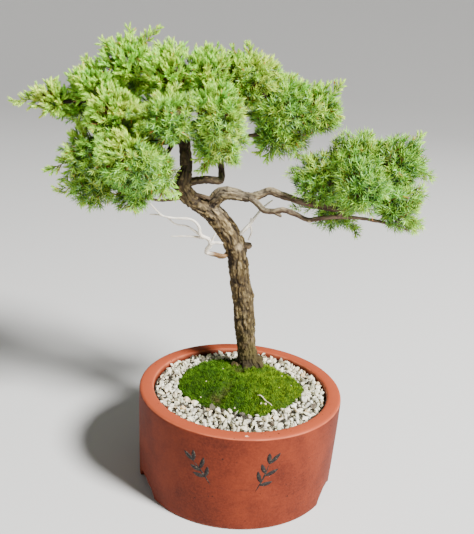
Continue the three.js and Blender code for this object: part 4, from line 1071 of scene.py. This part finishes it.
green, tree, surface = finish_of("juniper_needles", 0.5, 0.3)
shade_of = mark_of(tree, "hue")
fresh = mark_of(tree, "fresh")
# Dark where the mark is low: old needles, and painted shade deep in the crown; light where it is high: young tips,
# and painted light
old_green = tones(tree, shade_of, [
    (0, (8, 42, 16)), (0.25, (16, 56, 14)), (0.5, (30, 70, 10)), (0.7, (58, 84, 10)),
    (0.76, (76, 42, 18)), (0.82, (84, 40, 20)), (0.88, (56, 112, 52)), (1, (72, 130, 76)),
])
new_green = tones(tree, shade_of, [
    (0, (132, 214, 96)), (0.25, (158, 228, 84)), (0.5, (192, 242, 80)), (0.7, (230, 250, 100)),
    (0.76, (208, 138, 56)), (0.82, (196, 100, 50)), (0.88, (158, 216, 128)), (1, (186, 230, 158)),
])
painted(tree, surface, blended(tree, fresh, old_green, new_green))


def unit(ways):
    return ways / np.maximum(np.linalg.norm(ways, axis=-1, keepdims=True), 1e-9)


def all_round(count):
    """Ways spread evenly over a ball."""
    k = np.arange(count) + 0.5
    up = 1 - 2 * k / count
    turn = k * math.pi * (3 - 5**0.5)
    flat = np.sqrt(1 - up**2)
    return np.stack([flat * np.cos(turn), flat * np.sin(turn), up], axis=-1)


def side_of(ways, chance):
    """A way square to each of the given ones, at random."""
    return unit(np.cross(ways, chance.normal(size=ways.shape)))


def fullness(places):
    """How deep in the crown each place is: 1 at its surface, where neighbouring bunches grow together."""
    gap = np.linalg.norm(places[:, None] - bunch_middles[None], axis=-1) / bunch_reaches
    return np.exp(-3.4 * (gap**2 - 1)).sum(axis=1)


def crown_reach(number, ways):
    """How far out of a bunch's middle the crown's surface is in each way."""
    middle, reach = bunch_middles[number], bunch_reaches[number]
    near, far = np.full(len(ways), 0.6 * reach), np.full(len(ways), 1.34 * reach)
    for _ in range(12):
        half = (near + far) / 2
        inside = fullness(middle + ways * half[:, None]) > 1
        near, far = np.where(inside, half, near), np.where(inside, far, half)
    return near


def bunch_shoots(number, chance):
    """Every shoot of a bunch: root, tip, how young its needles are (0 open to 1 packed), and its hue."""
    name, middle, reach = bunches[number][0], bunch_middles[number], bunch_reaches[number]
    count = int(4 * math.pi * (1.08 * reach) ** 2 / tip_spacing**2)
    turn = np.linalg.qr(chance.normal(size=(3, 3)))[0]
    ways = unit(all_round(count) @ turn + chance.normal(0, 0.1, (count, 3)))
    lobed = 0.93 + 0.2 * uneven(middle + ways * reach, 15, 71) + chance.normal(0, 0.04, count)
    tips = middle + ways * (crown_reach(number, ways) * lobed)[:, None]
    others = np.delete(np.arange(len(bunches)), number)
    apart = np.linalg.norm(tips[:, None] - bunch_middles[others][None], axis=-1)
    own = np.linalg.norm(tips - middle, axis=1) / reach
    nearer = (apart / bunch_reaches[others] < np.minimum(own, 1)[:, None] - 0.04).any(axis=1)
    cut = (np.linalg.norm(tips[:, None] - cut_back[None, :, :3], axis=-1) < cut_back[:, 3]).any(axis=1)
    keep = ~nearer & ~cut & ((ways[:, 2] > -0.55) | (chance.uniform(size=count) < 0.55))
    ways, tips = ways[keep], tips[keep]
    on_pad = middle[0] > 30 and middle[2] < 360
    heart = pad_heart if on_pad else crown_heart
    flow = unit(unit(tips - heart) + [0, 0, 0.35])
    sprays = unit(all_round(20) + chance.normal(0, 0.16, (20, 3)))
    nearness = ways @ sprays.T
    spray = nearness.argmax(axis=1)
    out_in_sprays = 0.1 * np.clip((nearness.max(axis=1) - 0.93) / 0.06, -1, 1)
    tips = tips + ways * (reach * out_in_sprays)[:, None]
    lead = unit(0.9 * ways + 0.75 * flow + 0.5 * sprays[spray])
    roots = tips - lead * (reach * chance.uniform(0.55, 0.85, len(ways)))[:, None]
    young = 0.28 - (tips[:, 0] + 60) / 280 + (tips[:, 2] - 395) / 110 + 0.3 * np.clip(ways[:, 2], 0, 1)
    young += 0.3 * uneven(tips, 24, 72) + chance.normal(0, 0.12, len(tips)) - 0.3 * on_pad
    young = np.clip(young, 0, 1)
    hue = 0.4 + 0.2 * uneven(tips, 30, 73) + 0.14 * young + chance.normal(0, 0.09, len(tips))
    sets = [(roots, tips, young, hue)]
    for _ in range(2):
        some = chance.uniform(size=len(tips)) < 0.5 + 0.42 * young
        base_root, base_tip = roots[some], tips[some]
        way = unit(base_tip - base_root)
        share = chance.uniform(0.5, 0.82, some.sum())[:, None]
        start = base_root + (base_tip - base_root) * share
        side = side_of(way, chance) * chance.uniform(0.6, 0.95, some.sum())[:, None]
        side = unit(way + side + [0, 0, 0.12])
        length = (chance.uniform(6, 10, some.sum()) - 1.6 * young[some])[:, None]
        own_hue = hue[some] + chance.normal(0, 0.04, some.sum())
        sets.append((start, start + side * length, young[some], own_hue))
    for tip in long_tips.get(name, []):
        tip = np.array(tip, float)
        way = unit(tip - middle)
        root = middle + way * reach * 0.3
        length = np.linalg.norm(tip - root)
        packed = 0.85 if tip[0] < 20 or tip[2] > 370 else 0.2
        tone = 0.5 + chance.normal(0, 0.04)
        sets.append((root[None], tip[None], np.array([packed]), np.array([tone])))
        flat = unit(np.cross(way, [0.15, 1, 0.1]))
        for along in np.arange(0.25 * length, length - 3, 2.6):
            spin = unit(flat * chance.choice([-1, 1]) + np.cross(way, flat) * chance.normal(0, 0.8))
            start = root + way * along
            reach_out = (1 - along / length) * 11 + 4
            end = start + unit(way * 1.1 + spin) * reach_out * chance.uniform(0.75, 1.15)
            own_tone = tone + chance.normal(0, 0.04)
            sets.append((start[None], end[None], np.array([packed]), np.array([own_tone])))
    return [np.concatenate(column) for column in zip(*sets)]


def needled(roots, tips, young, hue, chance):
    """Corners, faces and marks of every needle on these shoots."""
    span = tips - roots
    length = np.linalg.norm(span, axis=1)
    way = span / length[:, None]
    spacing = 2.3 - 0.9 * young
    covered = np.minimum(length - 1.0, 12.5 - 1.5 * young)
    back = np.arange(10)[None] * spacing[:, None] + 0.3
    bend = side_of(way, chance) * 0.6 + [0, 0, -0.5]
    shoot, whorl = np.nonzero(back < covered[:, None])
    back = back[shoot, whorl]
    share = 1 - back / length[shoot]
    at = roots[shoot] + span[shoot] * share[:, None]
    at += bend[shoot] * (4 * share * (1 - share) * length[shoot] * 0.12)[:, None]
    first = side_of(way, chance)
    second = np.cross(way, first)
    near_tip = np.clip(1 - back / 6, 0, 1)
    pieces = []
    for k in range(3):
        turn = third_turn * k + third_turn / 2 * whorl + chance.normal(0, 0.18, len(at))
        arm = first[shoot] * np.cos(turn)[:, None] + second[shoot] * np.sin(turn)[:, None]
        lean = np.radians(60 - 26 * young[shoot] - 26 * near_tip + chance.normal(0, 8, len(at)))
        ahead = unit(way[shoot] * np.cos(lean)[:, None] + arm * np.sin(lean)[:, None] + [0, 0, 0.1])
        above = unit(way[shoot] - ahead * (way[shoot] * ahead).sum(-1)[:, None])
        size = (8.2 - 3.9 * young[shoot]) * (1 - 0.3 * near_tip) * chance.uniform(0.8, 1.15, len(at))
        width = (1.0 + 0.25 * young[shoot]) * chance.uniform(0.85, 1.15, len(at))
        across = np.cross(ahead, above) * width[:, None] / 2
        pieces.append((at + arm * 0.25, ahead * size[:, None], above, across, near_tip))
    foot, reach, above, across, near_tip = (np.concatenate(x) for x in zip(*pieces))
    shoot = np.tile(shoot, 3)
    corners = np.stack([foot - across, foot + across, foot - above * 0.6, foot + reach], axis=1).reshape(-1, 3)
    faces = repeated(one_blade, len(foot))
    own = np.clip(hue[shoot] + chance.normal(0, 0.05, len(foot)), 0.02, 0.69)
    own = np.where(chance.uniform(size=len(foot)) < 0.01, 0.79, own)
    bloom = (young[shoot] < 0.5) & (own < 0.7) & (chance.uniform(size=len(foot)) < 0.16)
    own = np.where(bloom, 0.88 + 0.12 * hue[shoot], own)
    glow = chance.normal(0, 0.15, len(roots)) * (1.5 - 0.6 * young)
    # Painted light: shoots at the top left of the crown are made lighter, as if the light fell most there
    glow += 0.22 * rising(tips[:, 2], 400, 430) * rising(tips[:, 0], -45, -85)
    # Needles nearer a shoot's root, deeper in the crown, are darker: partly older growth, partly painted shade;
    # each needle's point is lighter still
    base = -0.03 + 0.62 * near_tip + 0.44 * young[shoot] + glow[shoot] + chance.normal(0, 0.08, len(foot))
    base = np.clip(base, 0, 1)
    fresh = np.stack([base, base, base, np.clip(base + 0.56, 0, 1)], axis=1).ravel()
    return corners, faces, np.repeat(np.clip(own, 0, 1), 4), fresh


def stemmed(roots, tips):
    """Corners and faces of the shoots' own stems, three-sided and tapered."""
    way = unit(tips - roots)
    first = unit(np.cross(way, [0.3, 0.8, 0.5]))
    second = np.cross(way, first)
    rings = []
    for place, radius in ((roots, 0.62), (tips - way * 0.6, 0.34)):
        for turn in (0, third_turn, 2 * third_turn):
            rings.append(place + (first * math.cos(turn) + second * math.sin(turn)) * radius)
    corners = np.stack(rings, axis=1).reshape(-1, 3)
    one_stem = np.array([
        [0, 1, 4], [0, 4, 3], [1, 2, 5], [1, 5, 4], [2, 0, 3], [2, 3, 5], [0, 2, 1], [3, 4, 5],
    ])
    return corners, repeated(one_stem, len(roots))


def tangle(number, chance):
    """Corners and faces of a dark core inside a bunch: its dense old growth, and painted shade that shows dark
    between the shoots.
    """
    ways, faces = ball(2)
    share = 0.5 + 0.1 * uneven(ways * 10, 4, number) + chance.normal(0, 0.05, len(ways))
    return bunch_middles[number] + ways * (crown_reach(number, ways) * share)[:, None], faces


for number, (name, *_) in enumerate(bunches):
    chance = np.random.default_rng(300 + number)
    roots, tips, young, hue = bunch_shoots(number, chance)
    needles, needle_faces, needle_hue, needle_fresh = needled(roots, tips, young, hue, chance)
    stems, stem_faces = stemmed(roots, tips)
    stem_hue = np.repeat(np.where(chance.uniform(size=len(roots)) < 0.2, 0.79, 0.6), 6)
    # Painted shade: stems are darker at the root, deep in the crown, and lighter at the tip
    stem_fresh = np.tile([0.1, 0.1, 0.1, 0.6, 0.6, 0.6], len(roots))
    # A dark core in each bunch: its old growth, and painted shade between the shoots
    heart, heart_faces = tangle(number, chance)
    heart_hue = np.where(chance.uniform(size=len(heart)) < 0.3, 0.79, 0.62)
    inside = len(needles) + len(stems)
    foliage = shaped(
        f"shoots_{name}", np.vstack([needles, stems, heart]),
        np.vstack([needle_faces, stem_faces + len(needles), heart_faces + inside]), green, smooth=False,
        hue=np.concatenate([needle_hue, stem_hue, heart_hue]),
        fresh=np.concatenate([needle_fresh, stem_fresh, np.zeros(len(heart))]),
    )
    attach(foliage, "root")
    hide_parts(f"foliage_{name}")

# The floor, the light and the view. A pale, plain studio sweep, one broad soft light from the upper right
# and a weak even light from all round, seen from the height of the crown's top, looking down.
sweep, tree, surface = finish_of("studio_floor", 0.9, 0.1)
surface.inputs["Base Color"].default_value = shade(214, 213, 210)
sweep_sides = 96
rise = np.radians(np.arange(0, 71, 10))
sweep_rows = np.vstack([[0.4, 0], np.stack([3 + 4 * np.sin(rise), 4 - 4 * np.cos(rise)], axis=-1)])
turn = np.arange(sweep_sides) * 2 * np.pi / sweep_sides
places = [(r * math.cos(t), r * math.sin(t), z) for r, z in sweep_rows for t in turn]
faces = ring_faces(len(sweep_rows), sweep_sides)[:, ::-1].tolist() + [list(range(sweep_sides))]
mesh = bpy.data.meshes.new("studio_floor")
mesh.from_pydata(places, [], faces)
mesh.shade_smooth()
mesh.materials.append(sweep)
floor = bpy.data.objects.new("studio_floor", mesh)
floor.location.z = -0.0002
bpy.context.scene.collection.objects.link(floor)

world = bpy.data.worlds.new("studio_air")
world.use_nodes = True
air = world.node_tree.nodes["Background"].inputs
air["Color"].default_value = shade(240, 240, 240)
air["Strength"].default_value = 0.2
bpy.context.scene.world = world
lamp = bpy.data.lights.new("main_light", "AREA")
lamp.shape, lamp.size, lamp.energy = "DISK", 1.0, 560
light = bpy.data.objects.new("main_light", lamp)
light.location = (2.3, -1.65, 2.85)
light.rotation_euler = (Vector((0, 0, 0.25)) - light.location).to_track_quat("-Z", "Y").to_euler()
bpy.context.scene.collection.objects.link(light)

lens = bpy.data.cameras.new("view")
photo_height, focal_pixels = 534, 750
lens.sensor_width = 36
lens.lens = focal_pixels / photo_height * lens.sensor_width
camera = bpy.data.objects.new("view", lens)
camera.location = pot_axis + Vector((-0.0127, -0.7242, 0.4839))
pitch, roll = math.radians(18.71), math.radians(4.04)
ahead = Vector((0, math.cos(pitch), -math.sin(pitch)))
level_up = Vector((0, math.sin(pitch), math.cos(pitch)))
right = Vector((1, 0, 0)) * math.cos(roll) + level_up * math.sin(roll)
up = level_up * math.cos(roll) - Vector((1, 0, 0)) * math.sin(roll)
bpy.context.scene.collection.objects.link(camera)
camera.rotation_euler = Matrix((right, up, -ahead)).transposed().to_euler()
bpy.context.scene.camera = camera
